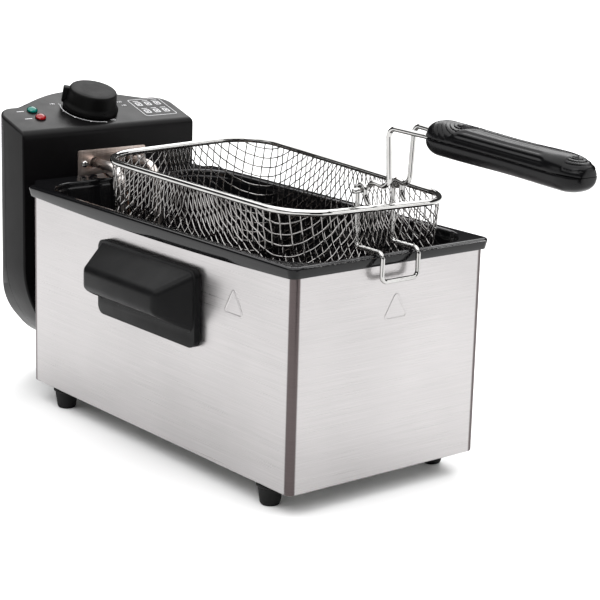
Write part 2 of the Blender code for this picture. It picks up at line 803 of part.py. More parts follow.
def slide_tongue():
    """The T-shaped tongue on the head's front that hangs in the slide bracket."""
    back = HEAD_FRONT - GAP
    lip_back = HEAD_FRONT - SLIDE_PLAY - BRACKET_LIP
    high = lip_back - SLIDE_PLAY
    low = high - TONGUE_THICKNESS
    wide = BRACKET_HALF - BRACKET_WALL - SLIDE_PLAY
    outline = [
        (-wide, low),
        (wide, low),
        (wide, high),
        (TONGUE_NECK, high),
        (TONGUE_NECK, back),
        (-TONGUE_NECK, back),
        (-TONGUE_NECK, high),
        (-wide, high),
    ]
    rest = BRACKET_LOW + 0.003 + GAP
    tongue = extruded("slide_tongue", [outline], rest, TONGUE_HIGH)
    give_material(tongue, "head_plastic")
    return [tongue]


def lamps():
    """Two indicator lamps: a domed lens with a collar, and the body behind the panel."""
    made = []
    lens = 0.0047
    dome = []
    for degrees in (0, 25, 50, 72):
        angle = math.radians(degrees)
        dome.append((lens * math.sin(angle), 0.0012 + 0.0022 * math.cos(angle)))
    profile = dome + [(lens, 0.0010), (lens, GAP), (0.0036, GAP), (0.0036, -0.012), (0, -0.012)]
    for name, along in LAMPS_ALONG.items():
        lamp = turned(name, profile, panel_matrix(LAMP_X, along), 12)
        give_material(lamp, "green_lens" if name.startswith("green") else "red_lens")
        made.append(lamp)
    return made


def knob_parts():
    """The dial: a hollow knob with a skirt, and the thermostat shaft that it sits on."""
    at = panel_matrix(0, DIAL_ALONG)
    profile = [
        (0, 0.0196),
        (0.0165, 0.0193),
        (0.0197, 0.0184),
        (0.0209, 0.0166),
        (0.0222, 0.0070),
        (0.0244, 0.0042),
        (0.0244, 0.0008),
        (0.0228, 0.0008),
        (0.0228, 0.0034),
        (0.0205, 0.0060),
        (0.0192, 0.0168),
        (0.0060, 0.0168),
        (0.0060, 0.0010),
        (0.0033, 0.0010),
        (0.0033, 0.0145),
        (0, 0.0145),
    ]
    knob = turned("thermostat_knob", profile, at, 24)
    tab = box("tab_guide", (-0.0035, 0.0200, 0.0030), (0.0035, 0.0262, 0.0172), 0.0010, 1)
    tab.matrix_world = at @ Matrix.Rotation(KNOB_TAB_TURN, 4, "Z")
    knob = combine(knob, [tab], "UNION")
    give_material(knob, "handle_plastic")
    shaft = rod("thermostat_shaft", 0.0030, -0.013, 0.0140, at, 12)
    give_material(shaft, "zinc")
    return [knob, shaft]


def thermostat_body():
    """The thermostat under the panel: a round can with a socket for its shaft."""
    top = -HEAD_WALL - GAP
    profile = [
        (0, -0.0145),
        (0.0035, -0.0145),
        (0.0035, top),
        (0.0100, top),
        (0.0100, top - 0.004),
        (0.0160, top - 0.004),
        (0.0160, top - 0.018),
        (0, top - 0.018),
    ]
    can = turned("thermostat_body", profile, panel_matrix(0, DIAL_ALONG), 18)
    give_material(can, "ceramic")
    return [can]


def element_plate():
    """The stainless plate on the head's front that the element and the sensor pass through."""
    middle = (PLATE_LOW + PLATE_HIGH) / 2
    half = (PLATE_HIGH - PLATE_LOW) / 2
    outlines = [rounded_rectangle(PLATE_HALF_WIDTH, half, 0.0015, 2, (0, middle))]
    for sign in (-1, 1):
        outlines.append(circle((sign * ELEMENT_X, ELEMENT_Z), ELEMENT_RADIUS + 0.0005))
        outlines.append(circle((sign * PLATE_SCREW_X, PLATE_SCREW_Z), 0.0018, 10))
    outlines.append(circle((SENSOR_X, SENSOR_Z), SENSOR_RADIUS + 0.0005, 10))
    back = HEAD_FRONT - GAP
    plate = extruded("element_plate", outlines, back - PLATE_THICKNESS, back, "Y")
    give_material(plate, "plate_steel")
    made = [plate]
    for side, sign in (("left", -1), ("right", 1)):
        head_at = Matrix.Translation((sign * PLATE_SCREW_X, back - PLATE_THICKNESS - GAP, PLATE_SCREW_Z))
        at = head_at @ Matrix.Rotation(math.radians(90), 4, "X")
        made.append(screw(f"plate_screw_{side}", at, 0.007, 0.0030, steps=12))
    return made


def element_path():
    """The element's centre line: in from the left terminal, down, four runs along the pot, and back."""
    behind = HEAD_FRONT + 0.012
    near = -0.125
    turn_back = 0.100
    left = [
        (-ELEMENT_X, behind, ELEMENT_Z),
        (-ELEMENT_X, ELEMENT_DROP_Y, ELEMENT_Z),
        (-ELEMENT_X, ELEMENT_DROP_Y, ELEMENT_LOOP_Z),
        (-ELEMENT_OUTER_X, 0.135, ELEMENT_LOOP_Z),
        (-ELEMENT_OUTER_X, near, ELEMENT_LOOP_Z),
        (-ELEMENT_INNER_X, near, ELEMENT_LOOP_Z),
        (-ELEMENT_INNER_X, turn_back, ELEMENT_LOOP_Z),
    ]
    right = [(-x, y, z) for x, y, z in reversed(left)]
    return rounded_path(left + right, 0.019, 4)


def heating_element():
    """The sheathed element, its spacing strap, and the sensor on its capillary."""
    element = tube("heating_element", element_path(), ELEMENT_RADIUS)
    give_material(element, "element_steel")
    made = [element]
    strap_z = ELEMENT_LOOP_Z + ELEMENT_RADIUS + GAP
    for label, place_y in (("front", -0.060), ("back", 0.060)):
        outline = rounded_rectangle(ELEMENT_OUTER_X + 0.007, 0.005, 0.0045, 3, (0, place_y))
        strap = extruded(f"element_strap_{label}", [outline], strap_z, strap_z + 0.001)
        give_material(strap, "plate_steel")
        made.append(strap)
    clear = strap_z + 0.001 + GAP
    corners = [
        (SENSOR_X, HEAD_FRONT + 0.012, SENSOR_Z),
        (SENSOR_X, HEAD_FRONT - 0.034, SENSOR_Z),
        (0.0, 0.148, clear + 0.030),
        (0.0, 0.135, clear + BULB_RADIUS),
        (0.0, 0.085, clear + BULB_RADIUS),
    ]
    path = rounded_path(corners, 0.010, 3)
    bulb_start = len(path)
    path += [Vector((0.0, 0.083, clear + BULB_RADIUS)), Vector((0.0, -0.010, clear + BULB_RADIUS))]
    widths = [1.0] * bulb_start + [BULB_RADIUS / SENSOR_RADIUS] * 2
    sensor = tube("temperature_sensor", path, SENSOR_RADIUS, widths=widths)
    give_material(sensor, "copper")
    made.append(sensor)
    return made


def head_internals():
    """What the control head holds behind its front wall."""
    inner = HEAD_FRONT + HEAD_WALL + GAP
    block = box("terminal_block", (-0.024, inner, 0.150), (0.024, inner + 0.014, 0.166), 0.001, 1)
    give_material(block, "ceramic")
    cutout_at = Matrix.Translation((0.048, inner, 0.150)) @ Matrix.Rotation(math.radians(-90), 4, "X")
    profile = [
        (0, 0.013),
        (0.005, 0.013),
        (0.005, 0.009),
        (0.0085, 0.009),
        (0.0085, 0.003),
        (0.011, 0.003),
        (0.011, 0),
        (0, 0),
    ]
    cutout = turned("thermal_cutout", profile, cutout_at, 14)
    give_material(cutout, "ceramic")
    switch = box("seat_switch", (-0.014, inner, 0.060), (0.014, inner + 0.010, 0.076), 0.0006, 1)
    give_material(switch, "handle_plastic")
    return [block, cutout, switch]


# ---------------------------------------------------------------- basket


def basket_outline(inset, height):
    """One level of the basket, inset from the rim wire, rising to the back and slightly twisted."""
    middle = (BASKET_FRONT + BASKET_BACK) / 2
    half_y = (BASKET_BACK - BASKET_FRONT) / 2 - inset
    radius = BASKET_CORNER - inset
    ring = ring_at(BASKET_HALF - inset, half_y, radius, height, 5, middle)
    return [(x, y, z + (BASKET_TILT + BASKET_TWIST * x) * (y - middle)) for x, y, z in ring]


def basket_rim():
    """The round wire that edges the basket."""
    rim = tube("basket_rim", basket_outline(0.0, BASKET_RIM_Z), RIM_WIRE, cyclic=True)
    give_material(rim, "chrome")
    return [rim]


def basket_mesh():
    """The basket's mesh as a thin tub, open at the top, with two holes that the hook's wires pass."""
    top = BASKET_RIM_Z - RIM_WIRE - GAP
    wall = BASKET_FLOOR_Z + BASKET_FLOOR_RADIUS
    rings = [basket_outline(0.0008, top)]
    turns = 3
    for index in range(turns + 1):
        angle = math.radians(90) * index / turns
        inset = BASKET_TAPER + BASKET_FLOOR_RADIUS * (1 - math.cos(angle))
        height = wall - BASKET_FLOOR_RADIUS * math.sin(angle)
        rings.append(basket_outline(inset, height))
    rings = [list(reversed(ring)) for ring in rings]
    tub = lofted("basket_mesh", rings, MESH_THICKNESS)
    holes = []
    for sign in (-1, 1):
        at = Matrix.Translation((sign * HOOK_X, BASKET_FRONT, hook_level())) @ axis_matrix("Y")
        holes.append(rod("hook_hole_cutter", HOOK_WIRE + HOOK_HOLE_PLAY, -CUT, CUT, at, 12))
    tub = combine(tub, holes, "DIFFERENCE")
    give_material(tub, "chrome")
    return [tub]


def hook_level():
    """Height of the hook's wires where they rest on the pot's rim."""
    return RIM_TOP + GAP + HOOK_WIRE


def basket_hook():
    """One bent wire: an eye for each handle pin, two drops inside the front wall, a loop over the rim."""
    eye = WIRE + HOOK_WIRE + GAP
    drop_y = PIVOT_Y + eye
    level = hook_level()
    left = [
        (-HOOK_X, PIVOT_Y - eye - 0.0035, PIVOT_Z - 0.0095),
        (-HOOK_X, PIVOT_Y - eye, PIVOT_Z - 0.003),
        (-HOOK_X, PIVOT_Y - eye, PIVOT_Z + eye),
        (-HOOK_X, drop_y, PIVOT_Z + eye),
        (-HOOK_X, drop_y, level),
        (-HOOK_X, HOOK_OUT_Y, level),
        (-HOOK_X, HOOK_OUT_Y, HOOK_BOTTOM_Z),
    ]
    right = [(-x, y, z) for x, y, z in reversed(left)]
    hook = tube("basket_hook", rounded_path(left + right, 0.0045, 2), HOOK_WIRE)
    give_material(hook, "chrome")
    return [hook]


# ---------------------------------------------------------------- basket handle


def grip_point(share, across=0.0, up=0.0):
    """A point in the grip: share 0 is its near end, 1 its far end, up is measured square to it."""
    near = Vector((0, GRIP_NEAR, GRIP_NEAR_Z))
    far = Vector((0, GRIP_FAR, GRIP_FAR_Z))
    along = (far - near).normalized()
    normal = Vector((1, 0, 0)).cross(along) * -1
    return near.lerp(far, share) + Vector((across, 0, 0)) + normal * up


def handle_path():
    """The handle wire's centre line, from pin to pin, with its bight inside the grip."""
    left = [
        (-PIN_X, PIVOT_Y, PIVOT_Z),
        (-LEG_X, PIVOT_Y, PIVOT_Z),
        (-LEG_X, PIVOT_Y - 0.004, PIVOT_Z + 0.0062),
        (-LEG_X, LEG_Y, PIVOT_Z + 0.0036),
        (-LEG_X, LEG_Y, LEG_TOP_Z),
        tuple(grip_point(0.0, -GRIP_WIRE_X)),
        tuple(grip_point(GRIP_WIRE_END, -GRIP_WIRE_X)),
    ]
    right = [(-x, y, z) for x, y, z in reversed(left)]
    return rounded_path(left + right, 0.0045, 2)


def grip_solid(name):
    """The grip's outer form: oval sections along its length, drawn in at both ends."""
    length = (Vector((0, GRIP_NEAR, GRIP_NEAR_Z)) - Vector((0, GRIP_FAR, GRIP_FAR_Z))).length
    form = bmesh.new()
    stations = 16
    sides = 20
    rows = []
    for station in range(stations + 1):
        share = 0.5 * (1 - math.cos(math.pi * station / stations))
        from_end = min(share, 1 - share) * length
        blunt = 0.022 if share > 0.5 else 0.015
        full = 1 - (1 - min(from_end / blunt, 1.0)) ** 2
        size = 0.32 + 0.68 * math.sqrt(full)
        row = []
        for side in range(sides):
            angle = 2 * math.pi * side / sides
            across = math.copysign(abs(math.cos(angle)) ** 0.85, math.cos(angle)) * GRIP_HALF_WIDTH * size
            up = math.copysign(abs(math.sin(angle)) ** 0.85, math.sin(angle)) * GRIP_HALF_HEIGHT * size
            row.append(form.verts.new(grip_point(share, across, up)))
        rows.append(row)
    for row, after in zip(rows, rows[1:]):
        for side in range(sides):
            other = (side + 1) % sides
            form.faces.new((row[side], row[other], after[other], after[side]))
    form.faces.new(rows[0])
    form.faces.new(rows[-1])
    return from_bmesh(name, form)


def grip_frame():
    """A frame along the grip: local Y runs from the far end to the near end, local Z is up."""
    near = Vector((0, GRIP_NEAR, GRIP_NEAR_Z))
    far = Vector((0, GRIP_FAR, GRIP_FAR_Z))
    tilt = math.atan2(near.z - far.z, near.y - far.y)
    return Matrix.Translation(near) @ Matrix.Rotation(tilt, 4, "X")


def handle_parts():
    """The handle wire, the two halves of its grip, and the screws that hold them together."""
    wire = tube("handle_wire", handle_path(), WIRE)
    give_material(wire, "chrome")
    made = [wire]
    length = (Vector((0, GRIP_NEAR, GRIP_NEAR_Z)) - Vector((0, GRIP_FAR, GRIP_FAR_Z))).length
    frame = grip_frame()
    upside_down = Matrix.Rotation(math.pi, 4, "X")
    for name, sign in (("grip_upper", 1), ("grip_lower", -1)):
        half = grip_solid(name)
        edge = GAP / 2 * sign
        low, high = sorted((edge, sign * 0.03))
        keep = box("grip_half_guide", (-0.03, -0.20, low), (0.03, 0.03, high))
        keep.matrix_world = frame
        half = combine(half, [keep], "INTERSECT")
        cutters = [tube("wire_channel_cutter", handle_path(), WIRE + GAP)]
        for share in GRIP_SCREWS:
            at = frame @ Matrix.Translation((0, -share * length, 0))
            reach = GRIP_HALF_HEIGHT / 2 if sign > 0 else 2 * CUT
            cutters.append(rod("grip_pilot_cutter", 0.0018, -2 * CUT, reach, at, 10))
            if sign < 0:
                cutters.append(rod("grip_counterbore_cutter", 0.0034, -2 * CUT, GRIP_SCREW_SEAT, at, 12))
        half = combine(half, cutters, "DIFFERENCE")
        give_material(half, "grip_plastic")
        made.append(half)
    for label, share in zip(("near", "far"), GRIP_SCREWS):
        at = frame @ Matrix.Translation((0, -share * length, GRIP_SCREW_SEAT - GAP)) @ upside_down
        made.append(screw(f"grip_screw_{label}", at, GRIP_SCREW_LENGTH))
    return made


# ---------------------------------------------------------------- assembly


def empty(name, location, parent=None):
    """An empty that carries one moving body."""
    made = bpy.data.objects.new(name, None)
    made.location = location
    PARTS.objects.link(made)
    if parent:
        attach([made], parent)
    return made


def attach(objects, carrier):
    """Parents the objects to a carrier and leaves them where they are."""
    bpy.context.view_layer.update()
    for obj in objects:
        obj.parent = carrier
        obj.matrix_parent_inverse = carrier.matrix_world.inverted()


def build():
    """Makes every part, hangs it on its body's empty, and centres the assembly over the origin."""
    housing = empty("housing_carrier", (0, 0, 0))
    pot = empty("pot_carrier", (0, 0, RIM_TOP), housing)
    head = empty("head_carrier", (0, HEAD_FRONT, BRACKET_LOW), pot)
    dial = empty("dial_carrier", panel_matrix(0, DIAL_ALONG).translation, head)
    basket = empty("basket_carrier", (0, BASKET_FRONT, BASKET_RIM_Z), head)
    handle = empty("handle_carrier", (0, PIVOT_Y, PIVOT_Z), basket)

    attach(housing_shell() + base_plate() + feet() + slide_bracket(), housing)
    attach(side_handle("left", -1) + side_handle("right", 1), housing)
    attach(oil_pot(), pot)
    attach(head_shells() + cover_screws() + cord_gland() + slide_tongue() + lamps(), head)
    attach(thermostat_body() + element_plate() + heating_element() + head_internals(), head)
    attach(knob_parts(), dial)
    attach(basket_rim() + basket_mesh() + basket_hook(), basket)
    attach(handle_parts(), handle)

    back_reach = HEAD_BACK + HEAD_BULGE + GLAND_FLANGE
    housing.location.y = -(GRIP_FAR + back_reach) / 2


clear_scene()
PARTS = new_collection("deep_fryer")
CUTTERS = new_collection("cutters")
build()
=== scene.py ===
"""The looks of the deep fryer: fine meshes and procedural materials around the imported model.

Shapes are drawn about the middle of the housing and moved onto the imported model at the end, as in
the part's own source. Metres, +Z up, the user at -Y.
"""

import math

import bmesh
import bpy
import numpy as np
from mathutils import Matrix, Quaternion, Vector


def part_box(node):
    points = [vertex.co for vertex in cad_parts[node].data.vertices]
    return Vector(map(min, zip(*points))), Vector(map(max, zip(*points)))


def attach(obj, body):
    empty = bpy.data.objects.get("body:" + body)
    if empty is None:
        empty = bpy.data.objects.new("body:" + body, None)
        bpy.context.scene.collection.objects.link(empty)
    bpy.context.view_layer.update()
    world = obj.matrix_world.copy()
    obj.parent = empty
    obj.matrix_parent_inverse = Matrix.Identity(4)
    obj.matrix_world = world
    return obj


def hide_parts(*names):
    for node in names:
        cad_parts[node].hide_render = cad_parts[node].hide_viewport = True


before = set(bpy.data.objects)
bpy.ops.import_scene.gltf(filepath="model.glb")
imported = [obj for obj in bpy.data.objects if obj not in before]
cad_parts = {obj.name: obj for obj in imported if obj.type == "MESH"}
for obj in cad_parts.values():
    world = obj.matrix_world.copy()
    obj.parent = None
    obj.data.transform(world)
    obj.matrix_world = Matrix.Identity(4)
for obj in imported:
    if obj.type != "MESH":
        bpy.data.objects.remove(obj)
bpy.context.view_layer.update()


def middle(node):
    """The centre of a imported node's box."""
    low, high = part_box(node)
    return (low + high) / 2


def half_size(node):
    """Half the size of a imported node's box."""
    low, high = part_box(node)
    return (high - low) / 2


# ---------------- sizes, from the frame where it has them

GAP = 0.0003
TINY = 1e-9
UPSIDE_DOWN = Matrix.Rotation(math.pi, 4, "X")
SHIFT = Vector((0, middle("housing_shell").y, 0))

HALF_WIDTH = half_size("housing_shell").x
HALF_LENGTH = half_size("housing_shell").y
HOUSING_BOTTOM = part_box("housing_shell")[0].z
HOUSING_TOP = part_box("housing_shell")[1].z
HOUSING_CORNER = 0.0045
STEEL = 0.0008
BRACKET_SCREW_Z = (0.066, 0.146)
HANDLE_SCREW_Y = 0.058
HANDLE_SCREW_Z = 0.131
# The painted dark reflection on the upright bends starts and is full this many corner radii inside the
# shell's edge.
BEND_REFLECTION_PAINT = (1.35, 1.05)
TRIANGLE = (0.0117, 0.0199)
FRONT_TRIANGLE = (0.0047, 0.1358)
SIDE_TRIANGLE = (-0.1057, 0.1366)

RIM_HALF_WIDTH = half_size("oil_pot").x
RIM_HALF_LENGTH = half_size("oil_pot").y
RIM_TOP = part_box("oil_pot")[1].z
RIM_CORNER = 0.007
RIM = (RIM_HALF_WIDTH, RIM_HALF_LENGTH, RIM_CORNER)
LIP_BOTTOM = 0.1775
LIP_SAG = 0.0035
LIP_TUCK = 0.0018
LIP_SHOULDER = 0.1838
ENAMEL = 0.001
OPENING = (0.0872, 0.1722, 0.036)
POT_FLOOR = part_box("oil_pot")[0].z + ENAMEL
POT_FLOOR_RADIUS = 0.018
POT_DRAFT = 0.002

FOOT_X = 0.0803
FOOT_Y = 0.140
FOOT_RADIUS = 0.0073
FOOT_TOP_RADIUS = 0.0108

PLATE_HALF = 0.0657
PLATE_BAND = (0.1015, 0.162)
PLATE_FACE = 0.097
HANDLE_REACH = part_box("side_handle_right")[1].x
HANDLE_WALL = 0.0035
HOOD_BASE_HALF = 0.0652
HOOD_BASE_BAND = (0.1110, 0.1615)
HOOD_FRONT_HALF = 0.0485
HOOD_FRONT_BAND = (0.1280, 0.1450)
RECESS_LOW = 0.090

HEAD_FRONT = 0.1958
HEAD_HALF = half_size("head_casing").x
HEAD_ROUND_Z = 0.112
HEAD_TOP_FRONT = 0.2257
HEAD_SEAM = 0.226
HEAD_CORNER = 0.016
HEAD_BACK = 0.244
HEAD_BULGE = 0.023
HEAD_BULGE_HALF = 0.066
HEAD_BULGE_FULLNESS = 0.56
HEAD_WALL = 0.0022
HEAD_EDGE = 0.006
HEAD_TOP_EDGE = 0.0024
HEAD_SIDE_EDGE = 0.0019
PANEL_TILT = math.radians(17.2)
PANEL_SKIRT = 0.011

DIAL_ALONG = 0.0355
KNOB_TAB_TURN = math.radians(56)
LAMP_X = -0.0557
LAMPS_ALONG = {"green_lamp": 0.0408, "red_lamp": 0.0262}

PLATE_HALF_WIDTH = half_size("element_plate").x
PLATE_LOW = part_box("element_plate")[0].z
PLATE_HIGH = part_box("element_plate")[1].z
PLATE_THICKNESS = 0.0012
PLATE_SCREW_X = 0.028
PLATE_SCREW_Z = 0.195
ELEMENT_RADIUS = 0.004
ELEMENT_X = 0.018
ELEMENT_Z = 0.1956
ELEMENT_DROP_Y = 0.150
ELEMENT_LOOP_Z = 0.048
ELEMENT_OUTER_X = 0.062
ELEMENT_INNER_X = 0.022
SENSOR_X = -0.009
SENSOR_Z = 0.1895
SENSOR_RADIUS = 0.0012
BULB_RADIUS = 0.003
# The holes that the plate and the casing's front share: (x, z, radius).
FRONT_HOLES = (
    (-ELEMENT_X, ELEMENT_Z, ELEMENT_RADIUS + 0.0005),
    (ELEMENT_X, ELEMENT_Z, ELEMENT_RADIUS + 0.0005),
    (-PLATE_SCREW_X, PLATE_SCREW_Z, 0.0018),
    (PLATE_SCREW_X, PLATE_SCREW_Z, 0.0018),
    (SENSOR_X, SENSOR_Z, SENSOR_RADIUS + 0.0005),
)

RIM_WIRE = 0.0025
BASKET_HALF = half_size("basket_rim").x - RIM_WIRE
BASKET_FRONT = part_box("basket_rim")[0].y + RIM_WIRE - SHIFT.y
BASKET_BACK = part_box("basket_rim")[1].y - RIM_WIRE - SHIFT.y
BASKET_MIDDLE = (BASKET_FRONT + BASKET_BACK) / 2
BASKET_HALF_LENGTH = (BASKET_BACK - BASKET_FRONT) / 2
BASKET_CORNER = 0.034
BASKET_TILT = 0.0286
BASKET_TWIST = 0.2
BASKET_BOW = 0.0012
BASKET_RIM_Z = 0.2190
BASKET_FLOOR_Z = 0.114
BASKET_TAPER = 0.0045
BASKET_FLOOR_RADIUS = 0.012
NET_PITCH = 0.0080
NET_WIRE = 0.00052

HOOK_WIRE = 0.0018
HOOK_X = 0.0172
HOOK_OUT_Y = -0.1825
HOOK_BOTTOM_Z = 0.167

WIRE = 0.002
PIVOT_Y = -0.1572
PIVOT_Z = 0.230
PIN_X = 0.025
LEG_X = 0.0114
LEG_LOW_X = 0.0095
LEG_TOP_X = 0.0122
LEG_Y = -0.178
LEG_TOP_Z = 0.2778
GRIP_NEAR = Vector((0, -0.2118, 0.2765))
GRIP_FAR = Vector((0, -0.357, 0.2697))
GRIP_HALF_WIDTH = 0.0142
GRIP_HALF_HEIGHT = 0.0124
GRIP_SCREWS = (0.25, 0.72)

GLAND_AT = (0, HEAD_BACK + HEAD_BULGE, 0.070)
GLAND_FLANGE = 0.0024


# ---------------- materials


def new_surface(name, metallic=0.0, gloss=0.5):
    """A Principled material, its node tree, shader and object coordinates."""
    made = bpy.data.materials.new(name)
    made.use_nodes = True
    tree = made.node_tree
    shader = tree.nodes["Principled BSDF"]
    shader.inputs["Metallic"].default_value = metallic
    shader.inputs["Specular IOR Level"].default_value = gloss
    coords = tree.nodes.new("ShaderNodeTexCoord").outputs["Object"]
    return made, tree, shader, coords


def noise(tree, coords, scale, detail=3.0, rough=0.5, stretch=(1, 1, 1)):
    """A noise value over stretched coordinates."""
    mapping = tree.nodes.new("ShaderNodeMapping")
    mapping.inputs["Scale"].default_value = stretch
    tree.links.new(coords, mapping.inputs["Vector"])
    made = tree.nodes.new("ShaderNodeTexNoise")
    made.inputs["Scale"].default_value = scale
    made.inputs["Detail"].default_value = detail
    made.inputs["Roughness"].default_value = rough
    tree.links.new(mapping.outputs["Vector"], made.inputs["Vector"])
    return made.outputs["Fac"]


def ramp(tree, value, stops):
    """A colour ramp over a value: stops are (position, colour)."""
    made = tree.nodes.new("ShaderNodeValToRGB")
    elements = made.color_ramp.elements
    while len(elements) < len(stops):
        elements.new(0.5)
    for element, (position, colour) in zip(elements, stops):
        element.position = position
        element.color = (*colour, 1.0)
    tree.links.new(value, made.inputs["Fac"])
    return made.outputs["Color"]


def blended(tree, value, low, high):
    """A colour between low and high over the middle of a noise value."""
    return ramp(tree, value, [(0.3, low), (0.7, high)])


def spread(tree, value, low, high, start=0.3, end=0.7):
    """Maps the middle of a noise value to the range from low to high."""
    made = tree.nodes.new("ShaderNodeMapRange")
    made.inputs["From Min"].default_value = start
    made.inputs["From Max"].default_value = end
    made.inputs["To Min"].default_value = low
    made.inputs["To Max"].default_value = high
    tree.links.new(value, made.inputs["Value"])
    return made.outputs["Result"]


def mixed(tree, first, second, share):
    """Two values mixed: share is how much of the second."""
    made = tree.nodes.new("ShaderNodeMix")
    made.inputs["Factor"].default_value = share
    tree.links.new(first, made.inputs["A"])
    tree.links.new(second, made.inputs["B"])
    return made.outputs["Result"]


def dress(tree, shader, colour, roughness, height, distance, strength):
    """Links a surface's colour, roughness and bump to its shader."""
    tree.links.new(colour, shader.inputs["Base Color"])
    tree.links.new(roughness, shader.inputs["Roughness"])
    made = tree.nodes.new("ShaderNodeBump")
    made.inputs["Distance"].default_value = distance
    made.inputs["Strength"].default_value = strength
    tree.links.new(height, made.inputs["Height"])
    tree.links.new(made.outputs["Normal"], shader.inputs["Normal"])


def brushed_steel(
    name, stops, brush, roughness, bend_reflection_tone=None, patches=(9.0, 2.0), share=0.35, mark=(0.00004, 0.35)
):
    """Steel with straight brush marks and wide patches: brush stretches the noise, large across the marks; a
    bend tone, if given, paints a dark reflection on the upright bends.
    """
    made, tree, shader, coords = new_surface(name, metallic=1.0)
    fine = noise(tree, coords, 1.0, 4.0, 0.65, brush)
    wide = noise(tree, coords, *patches, 0.5)
    colour = ramp(tree, mixed(tree, fine, wide, share), stops)
    # Painted shade: a dark reflection painted into the colour on the upright bends.
    if bend_reflection_tone:
        colour = paint_bend_dark_reflection(tree, coords, colour, bend_reflection_tone)
    dress(tree, shader, colour, spread(tree, fine, *roughness), fine, *mark)
    return made


def paint_bend_dark_reflection(tree, coords, colour, tone):
    """Paints a dark reflection into the colour where the sheet turns an upright corner: painted shade, not
    the steel's own colour.
    """
    split = tree.nodes.new("ShaderNodeSeparateXYZ")
    tree.links.new(coords, split.inputs["Vector"])
    masks = []
    for axis, centre, half in (("X", 0.0, HALF_WIDTH), ("Y", SHIFT.y, HALF_LENGTH)):
        size = math_node(tree, "ABSOLUTE", math_node(tree, "SUBTRACT", split.outputs[axis], centre))
        start, end = (half - share * HOUSING_CORNER for share in BEND_REFLECTION_PAINT)
        masks.append(spread(tree, size, 0.0, 1.0, start, end))
    bend_reflection_mix = tree.nodes.new("ShaderNodeMix")
    bend_reflection_mix.data_type = "RGBA"
    bend_reflection_mix.blend_type = "MULTIPLY"
    # A colour Mix node's sockets: input 0 is the factor, 6 and 7 are the colours, output 2 is the result.
    tree.links.new(math_node(tree, "MULTIPLY", *masks), bend_reflection_mix.inputs[0])
    tree.links.new(colour, bend_reflection_mix.inputs[6])
    bend_reflection_mix.inputs[7].default_value = (*tone, 1.0)
    return bend_reflection_mix.outputs[2]


def math_node(tree, operation, value, other=0.0):
    """One step of arithmetic on a value, with a number or a second value."""
    made = tree.nodes.new("ShaderNodeMath")
    made.operation = operation
    tree.links.new(value, made.inputs[0])
    if isinstance(other, float):
        made.inputs[1].default_value = other
    else:
        tree.links.new(other, made.inputs[1])
    return made.outputs["Value"]


def moulded(name, low, high, roughness, gloss=0.16, grain=1400.0, depth=0.00006):
    """Moulded plastic: a fine grain, uneven gloss and a slight unevenness of colour."""
    made, tree, shader, coords = new_surface(name, gloss=gloss)
    wide = noise(tree, coords, 14.0, 3.0, 0.55)
    fine = noise(tree, coords, grain, 2.0, 0.6)
    rub = noise(tree, coords, 60.0, 4.0, 0.6)
    colour = blended(tree, wide, low, high)
    dress(tree, shader, colour, spread(tree, rub, *roughness), fine, depth, 0.5)
    return made


def enamel(name):
    """Fired black enamel: glassy, with a faint orange peel and pin specks."""
    made, tree, shader, coords = new_surface(name, gloss=0.22)
    wide = noise(tree, coords, 30.0, 3.0)
    speck = tree.nodes.new("ShaderNodeTexVoronoi")
    speck.inputs["Scale"].default_value = 420.0
    tree.links.new(coords, speck.inputs["Vector"])
    stops = [(0.0, (0.018, 0.018, 0.020)), (0.10, (0.004, 0.004, 0.0045))]
    dots = ramp(tree, speck.outputs["Distance"], stops)
    peel = noise(tree, coords, 130.0, 2.0)
    dress(tree, shader, dots, spread(tree, wide, 0.05, 0.10), peel, 0.00008, 0.10)
    return made


def chrome(name, low, high):
    """Bright plate with faint drawing marks and smudges."""
    made, tree, shader, coords = new_surface(name, metallic=1.0)
    wide = noise(tree, coords, 45.0, 4.0, 0.6)
    colour = blended(tree, wide, low, high)
    marks = noise(tree, coords, 900.0, 2.0)
    dress(tree, shader, colour, spread(tree, wide, 0.04, 0.10), marks, 0.00002, 0.25)
    return made


def sheath_metal(name, stops, roughness):
    """A drawn or oxidised metal with mottled colour."""
    made, tree, shader, coords = new_surface(name, metallic=1.0)
    wide = noise(tree, coords, 38.0, 5.0, 0.6)
    fine = noise(tree, coords, 700.0, 3.0, 0.6)
    dress(tree, shader, ramp(tree, wide, stops), spread(tree, wide, *roughness), fine, 0.00004, 0.4)
    return made


def lens(name, deep, light):
    """A clear tinted lamp lens, darker where it is seen edge on."""
    made, tree, shader, coords = new_surface(name)
    facing = tree.nodes.new("ShaderNodeLayerWeight")
    facing.inputs["Blend"].default_value = 0.35
    tint = ramp(tree, facing.outputs["Facing"], [(0.05, light), (0.75, deep)])
    rough = spread(tree, noise(tree, coords, 300.0), 0.06, 0.14)
    dress(tree, shader, tint, rough, noise(tree, coords, 600.0), 0.00005, 0.2)
    return made


def printed_ink(name, low, high):
    """Pad-printed ink: matte and slightly uneven."""
    made, tree, shader, coords = new_surface(name)
    wide = noise(tree, coords, 800.0, 3.0)
    colour = blended(tree, wide, low, high)
    dress(tree, shader, colour, spread(tree, wide, 0.45, 0.6), wide, 0.00002, 0.3)
    return made


def grey(tone):
    """A colour of three equal parts."""
    return (tone, tone, tone)


def mottled(name, low, high, scale, roughness, gloss=0.5):
    """A plain grey surface with a faint mottle, for the stage."""
    made, tree, shader, coords = new_surface(name, gloss=gloss)
    colour = blended(tree, noise(tree, coords, scale), grey(low), grey(high))
    tree.links.new(colour, shader.inputs["Base Color"])
    shader.inputs["Roughness"].default_value = roughness
    return made


